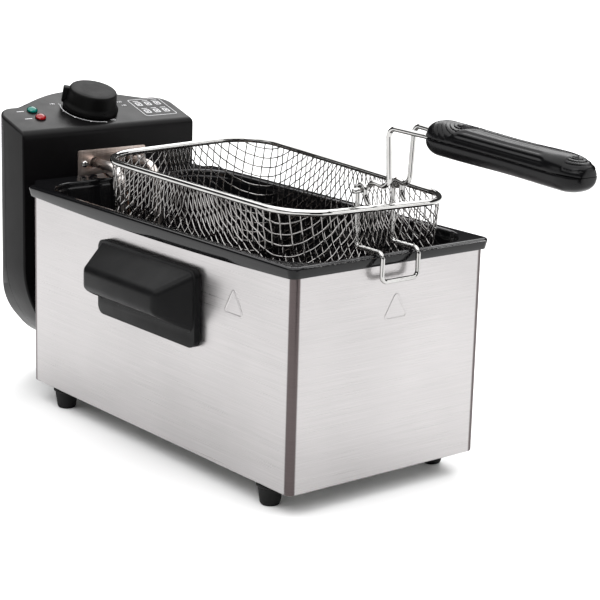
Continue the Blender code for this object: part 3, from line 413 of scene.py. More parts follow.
# Each finish: the function that makes it, then what that function takes after the name.
RECIPES = {
    "housing_steel": (
        brushed_steel,
        [(0.35, (0.385, 0.373, 0.373)), (0.65, (0.485, 0.469, 0.469))],
        (14, 14, 2600),
        (0.26, 0.36),
        # The tone of the dark reflection painted on the upright bends.
        (0.20, 0.17, 0.17),
    ),
    "zinc_steel": (
        brushed_steel,
        [(0.35, (0.47, 0.47, 0.46)), (0.65, (0.58, 0.58, 0.57))],
        (240, 12, 240),
        (0.34, 0.48),
    ),
    "screw_steel": (
        brushed_steel,
        [(0.35, (0.47, 0.47, 0.46)), (0.65, (0.62, 0.62, 0.61))],
        (500, 500, 500),
        (0.16, 0.28),
    ),
    # The element's plate, browned by heat around the tubes.
    "plate_steel": (
        brushed_steel,
        [(0.30, (0.40, 0.315, 0.27)), (0.52, (0.60, 0.505, 0.46)), (0.72, (0.72, 0.66, 0.63))],
        (900, 900, 60),
        (0.30, 0.44),
        None,
        (55.0, 3.0),
        0.6,
        (0.00005, 0.4),
    ),
    "enamel": (enamel,),
    "head_plastic": (moulded, (0.0022, 0.0020, 0.0022), (0.0036, 0.0033, 0.0036), (0.30, 0.38), 0.095),
    "bracket_plastic": (moulded, grey(0.008), grey(0.012), (0.48, 0.60)),
    "handle_plastic": (moulded, (0.0040, 0.0040, 0.0043), (0.0062, 0.0062, 0.0066), (0.34, 0.44), 0.10),
    "knob_plastic": (moulded, grey(0.0026), grey(0.0042), (0.42, 0.52), 0.07),
    "grip_plastic": (
        moulded,
        (0.0018, 0.0018, 0.0021),
        (0.0030, 0.0030, 0.0034),
        (0.20, 0.28),
        0.16,
        900.0,
        0.00003,
    ),
    "foot_rubber": (moulded, grey(0.006), grey(0.010), (0.58, 0.72), 0.16, 500.0, 0.0001),
    "chrome": (chrome, (0.38, 0.375, 0.366), (0.50, 0.495, 0.486)),
    "net_wire": (chrome, (0.19, 0.183, 0.175), (0.33, 0.32, 0.315)),
    "element_steel": (
        sheath_metal,
        [(0.32, (0.34, 0.285, 0.26)), (0.5, (0.51, 0.46, 0.43)), (0.7, (0.65, 0.615, 0.59))],
        (0.24, 0.38),
    ),
    "copper": (sheath_metal, [(0.32, (0.46, 0.24, 0.16)), (0.68, (0.78, 0.48, 0.34))], (0.22, 0.40)),
    "green_lens": (lens, (0.0, 0.016, 0.012), (0.001, 0.19, 0.15)),
    "red_lens": (lens, (0.034, 0.0, 0.0), (0.34, 0.005, 0.008)),
    "ceramic": (moulded, (0.70, 0.67, 0.60), (0.82, 0.79, 0.72), (0.55, 0.70), 0.16, 900.0, 0.0001),
    "white_ink": (printed_ink, (0.46, 0.46, 0.47), (0.62, 0.62, 0.63)),
}
SURFACES = {name: make(name, *values) for name, (make, *values) in RECIPES.items()}


# ---------------- mesh helpers


def smooth(mesh, degrees=35):
    """Smooth shading, except at real edges."""
    mesh.shade_smooth()
    mesh.set_sharp_from_angle(angle=math.radians(degrees))


def linked(name, data):
    """A new object in the scene."""
    made = bpy.data.objects.new(name, data)
    bpy.context.scene.collection.objects.link(made)
    return made


def piece(name, form, matrix=None, degrees=35, turn_out=True):
    """An object from a bmesh, its points moved by the matrix."""
    if matrix is not None:
        bmesh.ops.transform(form, matrix=matrix, verts=form.verts)
    if turn_out:
        bmesh.ops.recalc_face_normals(form, faces=form.faces)
    mesh = bpy.data.meshes.new(name)
    form.to_mesh(mesh)
    form.free()
    smooth(mesh, degrees)
    return linked(name, mesh)


def evaluated_mesh(obj):
    """A new mesh of the object with its modifiers applied."""
    graph = bpy.context.evaluated_depsgraph_get()
    return bpy.data.meshes.new_from_object(obj.evaluated_get(graph))


def settled(obj, degrees=35):
    """The object with its modifiers applied."""
    mesh = evaluated_mesh(obj)
    obj.modifiers.clear()
    old = obj.data
    obj.data = mesh
    mesh.name = obj.name
    bpy.data.meshes.remove(old)
    smooth(mesh, degrees)
    return obj


def boolean(target, others, operation="DIFFERENCE", degrees=35):
    """Cuts, joins or intersects the target with the others, which are used up."""
    for other in others:
        modifier = target.modifiers.new("Boolean", "BOOLEAN")
        modifier.operation = operation
        modifier.solver = "EXACT"
        modifier.object = other
    settled(target, degrees)
    for other in others:
        bpy.data.objects.remove(other, do_unlink=True)
    return target


def joined(name, objects, degrees=35):
    """Several meshes as one piece."""
    form = bmesh.new()
    for obj in objects:
        obj.data.transform(obj.matrix_world)
        form.from_mesh(obj.data)
        bpy.data.objects.remove(obj, do_unlink=True)
    return piece(name, form, degrees=degrees, turn_out=False)


def soften(obj, width, segments):
    """Rounds the object's sharp edges."""
    modifier = obj.modifiers.new("Bevel", "BEVEL")
    modifier.width = width
    modifier.segments = segments
    modifier.limit_method = "ANGLE"
    modifier.angle_limit = math.radians(30)
    return settled(obj)


def show(obj, body, surface, *nodes, slot=None):
    """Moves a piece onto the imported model, gives it its finish, and hangs it on its body."""
    obj.data.transform(Matrix.Translation(SHIFT))
    obj.data.materials.clear()
    obj.data.materials.append(SURFACES[surface])
    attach(obj, body)
    if nodes:
        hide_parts(*nodes)


def arc(centre, radius, start, end, steps):
    """Points on an arc, angles in degrees, both ends included."""
    points = []
    for index in range(steps + 1):
        angle = math.radians(start + (end - start) * index / steps)
        points.append((centre[0] + radius * math.cos(angle), centre[1] + radius * math.sin(angle)))
    return points


def rounded_rectangle(half_u, half_v, radius, steps=8, centre=(0.0, 0.0)):
    """Counter-clockwise outline of a rectangle with round corners."""
    points = []
    for sign_u, sign_v, start in ((1, 1, 0), (-1, 1, 90), (-1, -1, 180), (1, -1, 270)):
        at = (centre[0] + sign_u * (half_u - radius), centre[1] + sign_v * (half_v - radius))
        points += arc(at, radius, start, start + 90, steps)
    return points


def circle(centre, radius, steps=32):
    """Closed outline of a circle."""
    return arc(centre, radius, 0, 360 - 360 / steps, steps - 1)


def rounded_path(corners, radius, steps=8, cyclic=False):
    """A wire's centre line: straight runs between the corners, each corner turned as an arc."""
    corners = [Vector(corner) for corner in corners]
    count = len(corners)
    path = []
    for index, corner in enumerate(corners):
        if not cyclic and index in (0, count - 1):
            path.append(corner)
            continue
        to_last = corners[index - 1] - corner
        to_next = corners[(index + 1) % count] - corner
        opening = to_last.angle(to_next) / 2
        reach = min(radius / math.tan(opening), 0.49 * to_last.length, 0.49 * to_next.length)
        bend = reach * math.tan(opening)
        bisector = (to_last.normalized() + to_next.normalized()).normalized()
        centre = corner + bisector * (bend / math.sin(opening))
        first = corner + to_last.normalized() * reach - centre
        axis = first.cross(corner + to_next.normalized() * reach - centre)
        turn = math.pi - 2 * opening
        for step in range(steps + 1):
            path.append(centre + Quaternion(axis, turn * step / steps) @ first)
    return path


AXES = {
    "X": Matrix(((0, 0, 1, 0), (1, 0, 0, 0), (0, 1, 0, 0), (0, 0, 0, 1))),
    "Y": Matrix.Rotation(math.radians(90), 4, "X"),
    "Z": Matrix(),
}
ALONG = {"X": Vector((1, 0, 0)), "Y": Vector((0, 1, 0)), "Z": Vector((0, 0, 1))}


def curve_mesh(curve):
    """The mesh of a filled curve or text."""
    holder = linked(curve.name, curve)
    mesh = evaluated_mesh(holder)
    bpy.data.objects.remove(holder, do_unlink=True)
    return mesh


def aimed(point, degrees, axis):
    """A frame at a point, turned about one axis."""
    return Matrix.Translation(point) @ Matrix.Rotation(math.radians(degrees), 4, axis)


def extruded(name, outlines, low, high, axis="Z"):
    """A flat outline with its holes, drawn as (x, y), (x, z) or (y, z), extruded along the axis."""
    curve = bpy.data.curves.new(name, "CURVE")
    curve.dimensions = "2D"
    curve.fill_mode = "BOTH"
    curve.extrude = (high - low) / 2
    for outline in outlines:
        spline = curve.splines.new("POLY")
        spline.points.add(len(outline) - 1)
        for point, (across, up) in zip(spline.points, outline):
            point.co = (across, up, 0, 1)
        spline.use_cyclic_u = True
    mesh = curve_mesh(curve)
    form = bmesh.new()
    form.from_mesh(mesh)
    bpy.data.meshes.remove(mesh)
    bmesh.ops.remove_doubles(form, verts=form.verts, dist=1e-6)
    return piece(name, form, Matrix.Translation(ALONG[axis] * (low + high) / 2) @ AXES[axis])


def bevelled(form, width, segments, clamp=False):
    """Rounds every edge of a bmesh."""
    bmesh.ops.bevel(
        form,
        geom=form.edges[:],
        offset=width,
        segments=segments,
        profile=0.5,
        affect="EDGES",
        clamp_overlap=clamp,
    )


def box(name, low, high, bevel=0.0, segments=4):
    """A box between two corners, with rounded edges if bevel is set."""
    form = bmesh.new()
    bmesh.ops.create_cube(form, size=1.0)
    for vert in form.verts:
        vert.co = Vector(low[i] + (high[i] - low[i]) * (vert.co[i] + 0.5) for i in range(3))
    if bevel:
        bevelled(form, bevel, segments)
    return piece(name, form)


def placed(form, rings):
    """A stack of rings of points as rings of a bmesh's verts."""
    return [[form.verts.new(point) for point in ring] for ring in rings]


def skin(form, rows, closed=False):
    """Faces between a stack of closed rings of verts, and from the last to the first if closed."""
    for row, after in zip(rows, rows[1:] + (rows[:1] if closed else [])):
        for index in range(len(row)):
            other = (index + 1) % len(row)
            form.faces.new((row[index], row[other], after[other], after[index]))


def cap(form, rows):
    """Closes a stack of rings of verts at both ends."""
    form.faces.new(rows[0])
    form.faces.new(rows[-1])


def turned(name, profile, matrix=None, steps=48):
    """A closed profile of (radius, height) points turned about local Z."""
    form = bmesh.new()
    rings = []
    for radius, height in profile:
        if radius < 1e-7:
            rings.append([form.verts.new((0, 0, height))])
            continue
        ring = []
        for step in range(steps):
            angle = 2 * math.pi * step / steps
            ring.append(form.verts.new((radius * math.cos(angle), radius * math.sin(angle), height)))
        rings.append(ring)
    closed = len(rings[0]) > 1 and len(rings[-1]) > 1
    pairs = list(zip(rings, rings[1:])) + ([(rings[-1], rings[0])] if closed else [])
    for upper, lower in pairs:
        for step in range(steps):
            after = (step + 1) % steps
            if len(upper) == 1:
                form.faces.new((upper[0], lower[step], lower[after]))
            elif len(lower) == 1:
                form.faces.new((upper[step], lower[0], upper[after]))
            else:
                form.faces.new((upper[step], lower[step], lower[after], upper[after]))
    return piece(name, form, matrix)


def rod(name, radius, low, high, matrix):
    """A plain round bar along local Z."""
    return turned(name, [(0, high), (radius, high), (radius, low), (0, low)], matrix, 32)


def softened_profile(points, radius, steps=4):
    """A profile with every inner corner rounded, for turned pieces."""
    made = [points[0]]
    for before, corner, after in zip(points, points[1:], points[2:]):
        to_before = Vector(before) - Vector(corner)
        to_after = Vector(after) - Vector(corner)
        reach = min(radius, 0.45 * to_before.length, 0.45 * to_after.length)
        start = Vector(corner) + to_before.normalized() * reach
        end = Vector(corner) + to_after.normalized() * reach
        for step in range(steps + 1):
            t = step / steps
            point = start * (1 - t) ** 2 + Vector(corner) * 2 * t * (1 - t) + end * t ** 2
            made.append((point.x, point.y))
    made.append(points[-1])
    return made


def sweep(form, path, radius, sides=14, cyclic=False, radii=None):
    """Adds a tube along the path to the bmesh, with a domed cap at each open end."""
    path = [Vector(point) for point in path]
    count = len(path)
    normal = None
    rings = []
    for index, point in enumerate(path):
        before = path[index - 1] if index or cyclic else point
        after = path[(index + 1) % count] if index < count - 1 or cyclic else point
        tangent = (after - before).normalized()
        if normal is None:
            other = Vector((0, 0, 1)) if abs(tangent.z) < 0.9 else Vector((1, 0, 0))
            normal = other.cross(tangent).normalized()
        normal = (normal - tangent * normal.dot(tangent)).normalized()
        binormal = tangent.cross(normal)
        wide = radius * (radii[index] if radii else 1.0)
        rings.append((point, tangent, normal, binormal, wide))
    rows = []

    def ring(at, normal, binormal, wide):
        row = []
        for side in range(sides):
            angle = 2 * math.pi * side / sides
            row.append(form.verts.new(at + (normal * math.cos(angle) + binormal * math.sin(angle)) * wide))
        return row

    if cyclic:
        twist = rings[0][2].angle(rings[-1][2])
        sign = 1 if rings[0][2].cross(rings[-1][2]).dot(rings[0][1]) < 0 else -1
        for index, (at, tangent, normal, binormal, wide) in enumerate(rings):
            turn = Quaternion(tangent, sign * twist * index / count)
            rows.append(ring(at, turn @ normal, turn @ binormal, wide))
    else:
        at, tangent, normal, binormal, wide = rings[0]
        rows.append(ring(at - tangent * wide * 0.35, normal, binormal, wide * 0.65))
        rows += [ring(at, normal, binormal, wide) for at, tangent, normal, binormal, wide in rings]
        at, tangent, normal, binormal, wide = rings[-1]
        rows.append(ring(at + tangent * wide * 0.35, normal, binormal, wide * 0.65))
    skin(form, rows, cyclic)
    if not cyclic:
        cap(form, rows)


def tube(name, path, radius, sides=16, cyclic=False, radii=None):
    """A bent wire or tube as one piece."""
    form = bmesh.new()
    sweep(form, path, radius, sides, cyclic, radii)
    return piece(name, form, degrees=50)


def mirrored_path(left, radius, steps):
    """A wire's centre line through the left corners and back through their mirror images."""
    return rounded_path(left + [(-x, y, z) for x, y, z in reversed(left)], radius, steps)


def sheet_tub(name, rings, thickness, degrees):
    """A sheet through a stack of closed rings, the last one filled, made thick behind its faces."""
    form = bmesh.new()
    rows = placed(form, rings)
    skin(form, rows)
    form.faces.new(rows[-1])
    obj = piece(name, form, turn_out=False)
    solid = obj.modifiers.new("Thickness", "SOLIDIFY")
    solid.thickness = thickness
    solid.offset = -1
    solid.use_even_offset = True
    return settled(obj, degrees)


# ---------------- shared pieces


def cross_screw_mesh(name, length, head_radius, shank_radius):
    """A pan-head screw with a cross recess: its head stands on local Z = 0."""
    head = 0.0018
    profile = [
        (0, head),
        (head_radius * 0.45, head * 0.97),
        (head_radius * 0.80, head * 0.78),
        (head_radius * 0.97, head * 0.42),
        (head_radius, 0.0001),
        (shank_radius, 0),
        (shank_radius, -length + 0.001),
        (shank_radius * 0.4, -length),
        (0, -length),
    ]
    made = turned(name, softened_profile(profile, 0.0004, 3), steps=40)
    slots = []
    for turn in (20, 110):
        form = bmesh.new()
        rings = []
        for reach, across, height in ((0.40, 0.13, 0.15), (0.66, 0.24, 1.2)):
            x, y, z = head_radius * reach, head_radius * across, head * height
            rings.append([(-x, -y, z), (x, -y, z), (x, y, z), (-x, y, z)])
        rows = placed(form, rings)
        skin(form, rows)
        cap(form, rows)
        slots.append(piece("drive_cutter", form, Matrix.Rotation(math.radians(turn), 4, "Z")))
    return boolean(made, slots)


def frustum(name, base, top, bevel):
    """A tapered box along X: each end is (x, half y, low z, high z), with rounded edges."""
    form = bmesh.new()
    rings = []
    for x, half, low, high in (base, top):
        rings.append([(x, -half, low), (x, half, low), (x, half, high), (x, -half, high)])
    rows = placed(form, rings)
    skin(form, rows)
    cap(form, rows)
    bmesh.ops.recalc_face_normals(form, faces=form.faces)
    bevelled(form, bevel, 5, clamp=True)
    return piece(name, form)


# ---------------- housing


def ridge(name, corners, radius, half_width, height, matrix):
    """A low rounded ridge along a closed outline, to be pressed out of a sheet."""
    sides = 14
    path = rounded_path([(x, y, 0) for x, y in corners], radius, 6, cyclic=True)
    form = bmesh.new()
    sweep(form, path, 1.0, sides, cyclic=True)
    for index, vert in enumerate(form.verts):
        centre = path[index // sides]
        offset = vert.co - centre
        vert.co = centre + Vector((offset.x * half_width, offset.y * half_width, offset.z * height))
    return piece(name, form, matrix)


def turned_edge(inset, bottom, radius):
    """The quarter turn of the wrapper's lower edge, from upright to level, as (inset, height)."""
    points = []
    for degrees in range(0, 91, 15):
        angle = math.radians(degrees)
        points.append((inset + radius * (1 - math.cos(angle)), bottom + radius * (1 - math.sin(angle))))
    return points


def housing_shell():
    """The steel wrapper with its turned-in bottom edge and a pressed triangle on two faces."""
    turn = 0.0016
    flange = turn + 0.0035
    outer = turned_edge(0.0, HOUSING_BOTTOM, turn)
    inner = turned_edge(STEEL, HOUSING_BOTTOM + STEEL, turn - STEEL)
    levels = [(0.0, HOUSING_TOP), (0.0, HOUSING_TOP - 0.01)] + outer
    levels += [(flange, HOUSING_BOTTOM), (flange, HOUSING_BOTTOM + STEEL)] + inner[::-1]
    levels.append((STEEL, HOUSING_TOP))
    rings = []
    for inset, height in levels:
        radius = max(HOUSING_CORNER - inset, 0.0012)
        outline = rounded_rectangle(HALF_WIDTH - inset, HALF_LENGTH - inset, radius, 12)
        rings.append([(x, y, height) for x, y in outline])
    form = bmesh.new()
    skin(form, placed(form, rings), closed=True)
    shell = piece("housing_wrap", form)
    half, tall = TRIANGLE
    corners = [(-half, 0.0), (half, 0.0), (0.0, tall)]
    upright = Matrix.Rotation(math.radians(90), 4, "X")
    front_at = Matrix.Translation((FRONT_TRIANGLE[0], -HALF_LENGTH, FRONT_TRIANGLE[1])) @ upright
    side_at = aimed((-HALF_WIDTH, *SIDE_TRIANGLE), -90, "Z") @ upright
    ridges = []
    for label, at in (("front", front_at), ("side", side_at)):
        ridges.append(ridge(f"{label}_ridge", corners, 0.0022, 0.0010, 0.00030, at))
    boolean(shell, ridges, "UNION", 30)
    show(shell, "housing", "housing_steel", "housing_shell")


def feet():
    """Four tapered rubber feet, each with a ring, a counterbore and its screw."""
    seat = 0.009
    profile = [
        (0.0022, seat),
        (0.0022, HOUSING_BOTTOM),
        (FOOT_TOP_RADIUS, HOUSING_BOTTOM),
        (FOOT_TOP_RADIUS, HOUSING_BOTTOM - 0.0022),
        (FOOT_TOP_RADIUS - 0.0012, HOUSING_BOTTOM - 0.0030),
        (FOOT_RADIUS + 0.0004, 0.0016),
        (FOOT_RADIUS - 0.0006, 0.0),
        (0.0044, 0.0),
        (0.0044, seat),
        (0.0022, seat),
    ]
    profile = softened_profile(profile, 0.0007, 4)[:-1]
    for side_x, sign_x in (("left", -1), ("right", 1)):
        for side_y, sign_y in (("front", -1), ("back", 1)):
            at = Matrix.Translation((sign_x * FOOT_X, sign_y * FOOT_Y, 0))
            place = f"{side_y}_{side_x}"
            show(turned(f"foot_{place}_rubber", profile, at), "housing", "foot_rubber", f"foot_{place}")
            under = at @ Matrix.Translation((0, 0, seat - GAP)) @ UPSIDE_DOWN
            screw_as(f"foot_screw_{place}", "housing", under, 0.0145, 0.0036, 0.0017)


def screw_as(node, body, matrix, length, head_radius=0.0029, shank_radius=0.0015):
    """A cross-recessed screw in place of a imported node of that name."""
    made = cross_screw_mesh(node + "_cross", length, head_radius, shank_radius)
    made.data.transform(matrix)
    show(made, body, "screw_steel", node)


def side_handle(side, sign):
    """A moulded handle: a back plate with round corners and a hood over a finger recess."""
    low, high = PLATE_BAND
    wall = HANDLE_WALL
    outline = rounded_rectangle(PLATE_HALF, (high - low) / 2, 0.0075, 12, (0, (low + high) / 2))
    plate = soften(extruded("handle_back_plate", [outline], HALF_WIDTH + GAP, PLATE_FACE, "X"), 0.0018, 4)
    hood_base = (PLATE_FACE - 0.004, HOOD_BASE_HALF, *HOOD_BASE_BAND)
    hood = frustum("hood_guide", hood_base, (HANDLE_REACH, HOOD_FRONT_HALF, *HOOD_FRONT_BAND), 0.0045)
    recess = frustum(
        "recess_cutter",
        (PLATE_FACE + 0.0002, HOOD_BASE_HALF - wall, RECESS_LOW, HOOD_BASE_BAND[1] - wall),
        (HANDLE_REACH - wall, HOOD_FRONT_HALF - wall, RECESS_LOW, HOOD_FRONT_BAND[1] - wall),
        0.0025,
    )
    handle = boolean(boolean(plate, [hood], "UNION"), [recess])
    handle.name = f"side_handle_{side}_moulding"
    if sign < 0:
        handle.data.transform(Matrix.Rotation(math.pi, 4, "Z"))
    show(handle, "housing", "handle_plastic", f"side_handle_{side}")
    inside = sign * (HALF_WIDTH - STEEL - GAP)
    for end, place_y in (("front", -HANDLE_SCREW_Y), ("back", HANDLE_SCREW_Y)):
        at = aimed((inside, place_y, HANDLE_SCREW_Z), 90 * sign, "Y") @ UPSIDE_DOWN
        screw_as(f"handle_screw_{end}_{side}", "housing", at, 0.0052)


def bracket_screws():
    """The two screws that hold the slide bracket to the back wall."""
    place_y = HALF_LENGTH + GAP + 0.003 + GAP
    for level, place_z in zip(("lower", "upper"), BRACKET_SCREW_Z):
        screw_as(f"bracket_screw_{level}", "housing", facing_back(0, place_y, place_z), 0.005)


# ---------------- oil pot


def level_ring(half_x, half_y, radius, height, steps=14, centre_y=0.0):
    """One level of a tub, with extra points along its long sides."""
    outline = rounded_rectangle(half_x, half_y, radius, steps, (0.0, centre_y))
    along = 15
    reach = half_y - radius
    shares = [1 - 2 * (index + 1) / (along + 1) for index in range(along)]
    left = [(-half_x, centre_y + reach * share) for share in shares]
    right = [(half_x, centre_y - reach * share) for share in shares]
    turn = 2 * (steps + 1)
    return [(x, y, height) for x, y in outline[:turn] + left + outline[turn:] + right]


def offset_ring(size, outset, height):
    """One level of a tub whose half width, half length and corner radius all grow by the outset."""
    half_x, half_y, radius = (value + outset for value in size)
    return level_ring(half_x, half_y, radius, height)


def lip_ring(inset, share):
    """One level of the turned-down lip: share runs from its lower edge, lowest mid-side, to its shoulder."""
    ring = []
    for x, y, _ in offset_ring(RIM, -inset, 0.0):
        low = LIP_BOTTOM - LIP_SAG * max(0.0, 1 - (y / RIM_HALF_LENGTH) ** 2)
        ring.append((x, y, low + (LIP_SHOULDER - low) * share))
    return ring


def oil_pot():
    """The enamelled pot: lip, flat rim, a small step below the opening, drafted walls, round foot."""
    lip = ((LIP_TUCK, 0.0), (LIP_TUCK - 0.0005, 0.10), (0.0006, 0.62), (0.0002, 0.82), (0.0, 1.0))
    rings = [lip_ring(inset, share) for inset, share in lip]
    edge = RIM_TOP - LIP_SHOULDER
    for degrees in range(15, 91, 15):
        angle = math.radians(degrees)
        drop = edge * (1 - math.sin(angle))
        rings.append(offset_ring(RIM, -1.3 * edge * (1 - math.cos(angle)), RIM_TOP - drop))
    dip = 0.0004
    flat = 0.0052
    rings.append(level_ring(RIM_HALF_WIDTH - flat, RIM_HALF_LENGTH - flat, RIM_CORNER + 0.002, RIM_TOP - dip))
    fall = [(0.0026, dip), (0.0020, dip + 0.0001), (0.0010, 0.0008), (0.0003, 0.0016), (0.0, 0.0026)]
    fall += [(0.0, 0.0050), (-0.0002, 0.0056), (-0.0008, 0.0061), (-0.0010, 0.0068)]
    rings += [offset_ring(OPENING, outset, RIM_TOP - drop) for outset, drop in fall]
    bottom = [value - POT_DRAFT for value in OPENING]
    for index in range(9):
        angle = math.radians(90) * index / 8
        height = POT_FLOOR + POT_FLOOR_RADIUS * (1 - math.sin(angle))
        rings.append(offset_ring(bottom, -POT_FLOOR_RADIUS * (1 - math.cos(angle)), height))
    show(sheet_tub("enamel_pot", rings, ENAMEL, 40), "pot", "enamel", "oil_pot")


# ---------------- control head


def panel_matrix(across, along, lift=0.0):
    """A frame on the sloped panel: local Z is the panel's normal, along is measured up the slope."""
    place_y = HEAD_FRONT + along * math.cos(PANEL_TILT) - lift * math.sin(PANEL_TILT)
    place_z = HEAD_TOP_FRONT + along * math.sin(PANEL_TILT) + lift * math.cos(PANEL_TILT)
    return Matrix.Translation((across, place_y, place_z)) @ Matrix.Rotation(PANEL_TILT, 4, "X")


def panel_height(place_y):
    """Height of the sloped panel at a depth."""
    return HEAD_TOP_FRONT + (place_y - HEAD_FRONT) * math.tan(PANEL_TILT)


def head_plan(inset):
    """The head from above: straight front and sides, round back corners and a bulge in the middle."""
    half = HEAD_HALF - inset
    front = HEAD_FRONT + inset
    corner = HEAD_CORNER - inset
    corner_centre = (half - corner, HEAD_BACK - HEAD_CORNER)
    right = [(half, front)] + arc(corner_centre, corner, 0, 90, 10)
    steps = 26
    for index in range(steps):
        x = HEAD_BULGE_HALF * (1 - index / steps)
        swell = (0.5 * (1 + math.cos(math.pi * x / HEAD_BULGE_HALF))) ** HEAD_BULGE_FULLNESS
        right.append((x, HEAD_BACK + HEAD_BULGE * swell - inset))
    middle_point = [(0.0, HEAD_BACK + HEAD_BULGE - inset)]
    left = [(-x, y) for x, y in reversed(right)]
    return right + middle_point + left


def head_solid(name, inset):
    """The head's outer form, or its hollow when inset by the wall."""
    solid = extruded(name, [head_plan(inset)], 0.01, 0.28)
    half = HEAD_HALF - inset
    front_outline = arc((0.0, HEAD_ROUND_Z), half, 180, 360, 64) + [(half, 0.30), (-half, 0.30)]
    front_view = extruded("front_view_guide", [front_outline], 0.15, 0.30, "Y")
    above = box("above_panel_cutter", (-0.15, -0.10, 0.0), (0.15, 0.15, 0.12))
    above.data.transform(panel_matrix(0, 0, -inset))
    solid = boolean(solid, [front_view], "INTERSECT")
    return boolean(solid, [above])


def round_head_edges(solid, segments):
    """Rounds the edges of the head's front and of its sloped top, the edge between the two the most."""
    form = bmesh.new()
    form.from_mesh(solid.data)
    bmesh.ops.dissolve_limit(form, angle_limit=math.radians(0.4), verts=form.verts, edges=form.edges)
    weight = form.edges.layers.float.new("bevel_weight_edge")
    for edge in form.edges:
        ends = [vert.co for vert in edge.verts]
        at_front = all(abs(end.y - HEAD_FRONT) < 1e-5 for end in ends)
        at_top = all(abs(end.z - panel_height(end.y)) < 1e-5 for end in ends)
        if at_front and at_top:
            edge[weight] = 1.0
        elif at_top:
            edge[weight] = HEAD_TOP_EDGE / HEAD_EDGE
        elif at_front:
            edge[weight] = HEAD_SIDE_EDGE / HEAD_EDGE
    form.to_mesh(solid.data)
    form.free()
    modifier = solid.modifiers.new("Bevel", "BEVEL")
    modifier.width = HEAD_EDGE
    modifier.segments = segments
    modifier.limit_method = "WEIGHT"
    settled(solid)


def rear_region(name, back_off):
    """Everything behind the side seam and below the panel's skirt."""
    seam = HEAD_SEAM + back_off
    drop = PANEL_SKIRT + back_off
    far = 0.30
    side = [(seam, 0.0), (far, 0.0), (far, panel_height(far) - drop), (seam, panel_height(seam) - drop)]
    return extruded(name, [side], -0.12, 0.12, "X")


def facing_back(x, y, z):
    """A frame at a point whose local Z looks backwards."""
    return aimed((x, y, z), -90, "X")


COVER_SCREWS = {
    "left": (-HEAD_BULGE_HALF - 0.003, HEAD_BACK, 0.130),
    "right": (HEAD_BULGE_HALF + 0.003, HEAD_BACK, 0.130),
    "bottom": (0.0, HEAD_BACK + HEAD_BULGE, 0.045),
}


def head_shells():
    """The front casing with the sloped panel, and the rear cover that closes it."""
    outer = head_solid("head_shell_moulding", 0.0)
    round_head_edges(outer, 7)
    hollow = boolean(outer, [head_solid("head_hollow_cutter", HEAD_WALL)])
    cover = linked("head_cover_moulding", hollow.data.copy())
    cutters = [rear_region("rear_region_cutter", 0.0)]
    cutters.append(rod("shaft_hole_cutter", 0.0037, -0.01, 0.01, panel_matrix(0, DIAL_ALONG)))
    for along in LAMPS_ALONG.values():
        cutters.append(rod("lamp_hole_cutter", 0.0040, -0.01, 0.01, panel_matrix(LAMP_X, along)))
    for x, z, radius in FRONT_HOLES:
        cutters.append(rod("front_hole_cutter", radius, -0.006, 0.006, facing_back(x, HEAD_FRONT, z)))
    show(boolean(hollow, cutters), "head", "head_plastic", "head_casing")
    cover = boolean(cover, [rear_region("rear_region_guide", GAP)], "INTERSECT")
    cutters = []
    for place in COVER_SCREWS.values():
        cutters.append(rod("cover_hole_cutter", 0.0018, -0.006, 0.006, facing_back(*place)))
    cutters.append(rod("gland_hole_cutter", 0.0071, -0.012, 0.012, facing_back(*GLAND_AT)))
    show(boolean(cover, cutters), "head", "head_plastic", "head_rear_cover")


def cover_parts():
    """The rear cover's screws and the grommet that a cord would come out of."""
    for label, (x, y, z) in COVER_SCREWS.items():
        screw_as(f"cover_screw_{label}", "head", facing_back(x, y + GAP, z), 0.010)
    profile = [
        (0.0036, -0.008),
        (0.0036, GLAND_FLANGE),
        (0.0080, GLAND_FLANGE),
        (0.0092, 0.0012),
        (0.0092, 0.0005),
        (0.0067, 0.0005),
        (0.0067, -0.008),
        (0.0036, -0.008),
    ]
    gland = turned("cord_grommet", softened_profile(profile, 0.0006, 4)[:-1], facing_back(*GLAND_AT))
    show(gland, "head", "foot_rubber", "cord_gland")


def lamps():
    """Two domed lamp lenses, each with a step at its foot and a body through the panel."""
    radius = 0.0047
    profile = []
    for degrees in range(0, 76, 8):
        angle = math.radians(degrees)
        profile.append((radius * 0.96 * math.sin(angle), 0.0012 + 0.0024 * math.cos(angle)))
    profile += [(radius, 0.0014), (radius, GAP), (0.0036, GAP), (0.0036, -0.012), (0, -0.012)]
    for node, along in LAMPS_ALONG.items():
        made = turned(node + "_lens", profile, panel_matrix(LAMP_X, along), 64)
        show(made, "head", node.split("_")[0] + "_lens", node)


def knob():
    """The dial: a slightly domed top, straight sides, a flared skirt, a grip tab and a small pointer."""
    at = panel_matrix(0, DIAL_ALONG)
    outside = [
        (0, 0.0197),
        (0.0100, 0.0196),
        (0.0165, 0.0193),
        (0.0203, 0.0187),
        (0.0211, 0.0168),
        (0.0221, 0.0072),
        (0.0244, 0.0040),
        (0.0244, 0.0008),
        (0.0228, 0.0008),
        (0.0228, 0.0030),
        (0.0205, 0.0060),
        (0.0192, 0.0168),
        (0.0060, 0.0168),
        (0.0060, 0.0010),
        (0.0033, 0.0010),
        (0.0033, 0.0145),
        (0, 0.0145),
    ]
    made = turned("dial_knob", softened_profile(outside, 0.0009, 5), at, 96)
    tab = box("tab_guide", (-0.0036, 0.0150, 0.0030), (0.0036, 0.0262, 0.0172), 0.0012, 4)
    tab.data.transform(at @ Matrix.Rotation(KNOB_TAB_TURN, 4, "Z"))
    mark = box("mark_guide", (-0.0010, -0.0238, 0.0040), (0.0010, -0.0208, 0.0062), 0.0005, 3)
    mark.data.transform(at)
    boolean(made, [tab, mark], "UNION", 30)
    show(made, "dial", "knob_plastic", "thermostat_knob")


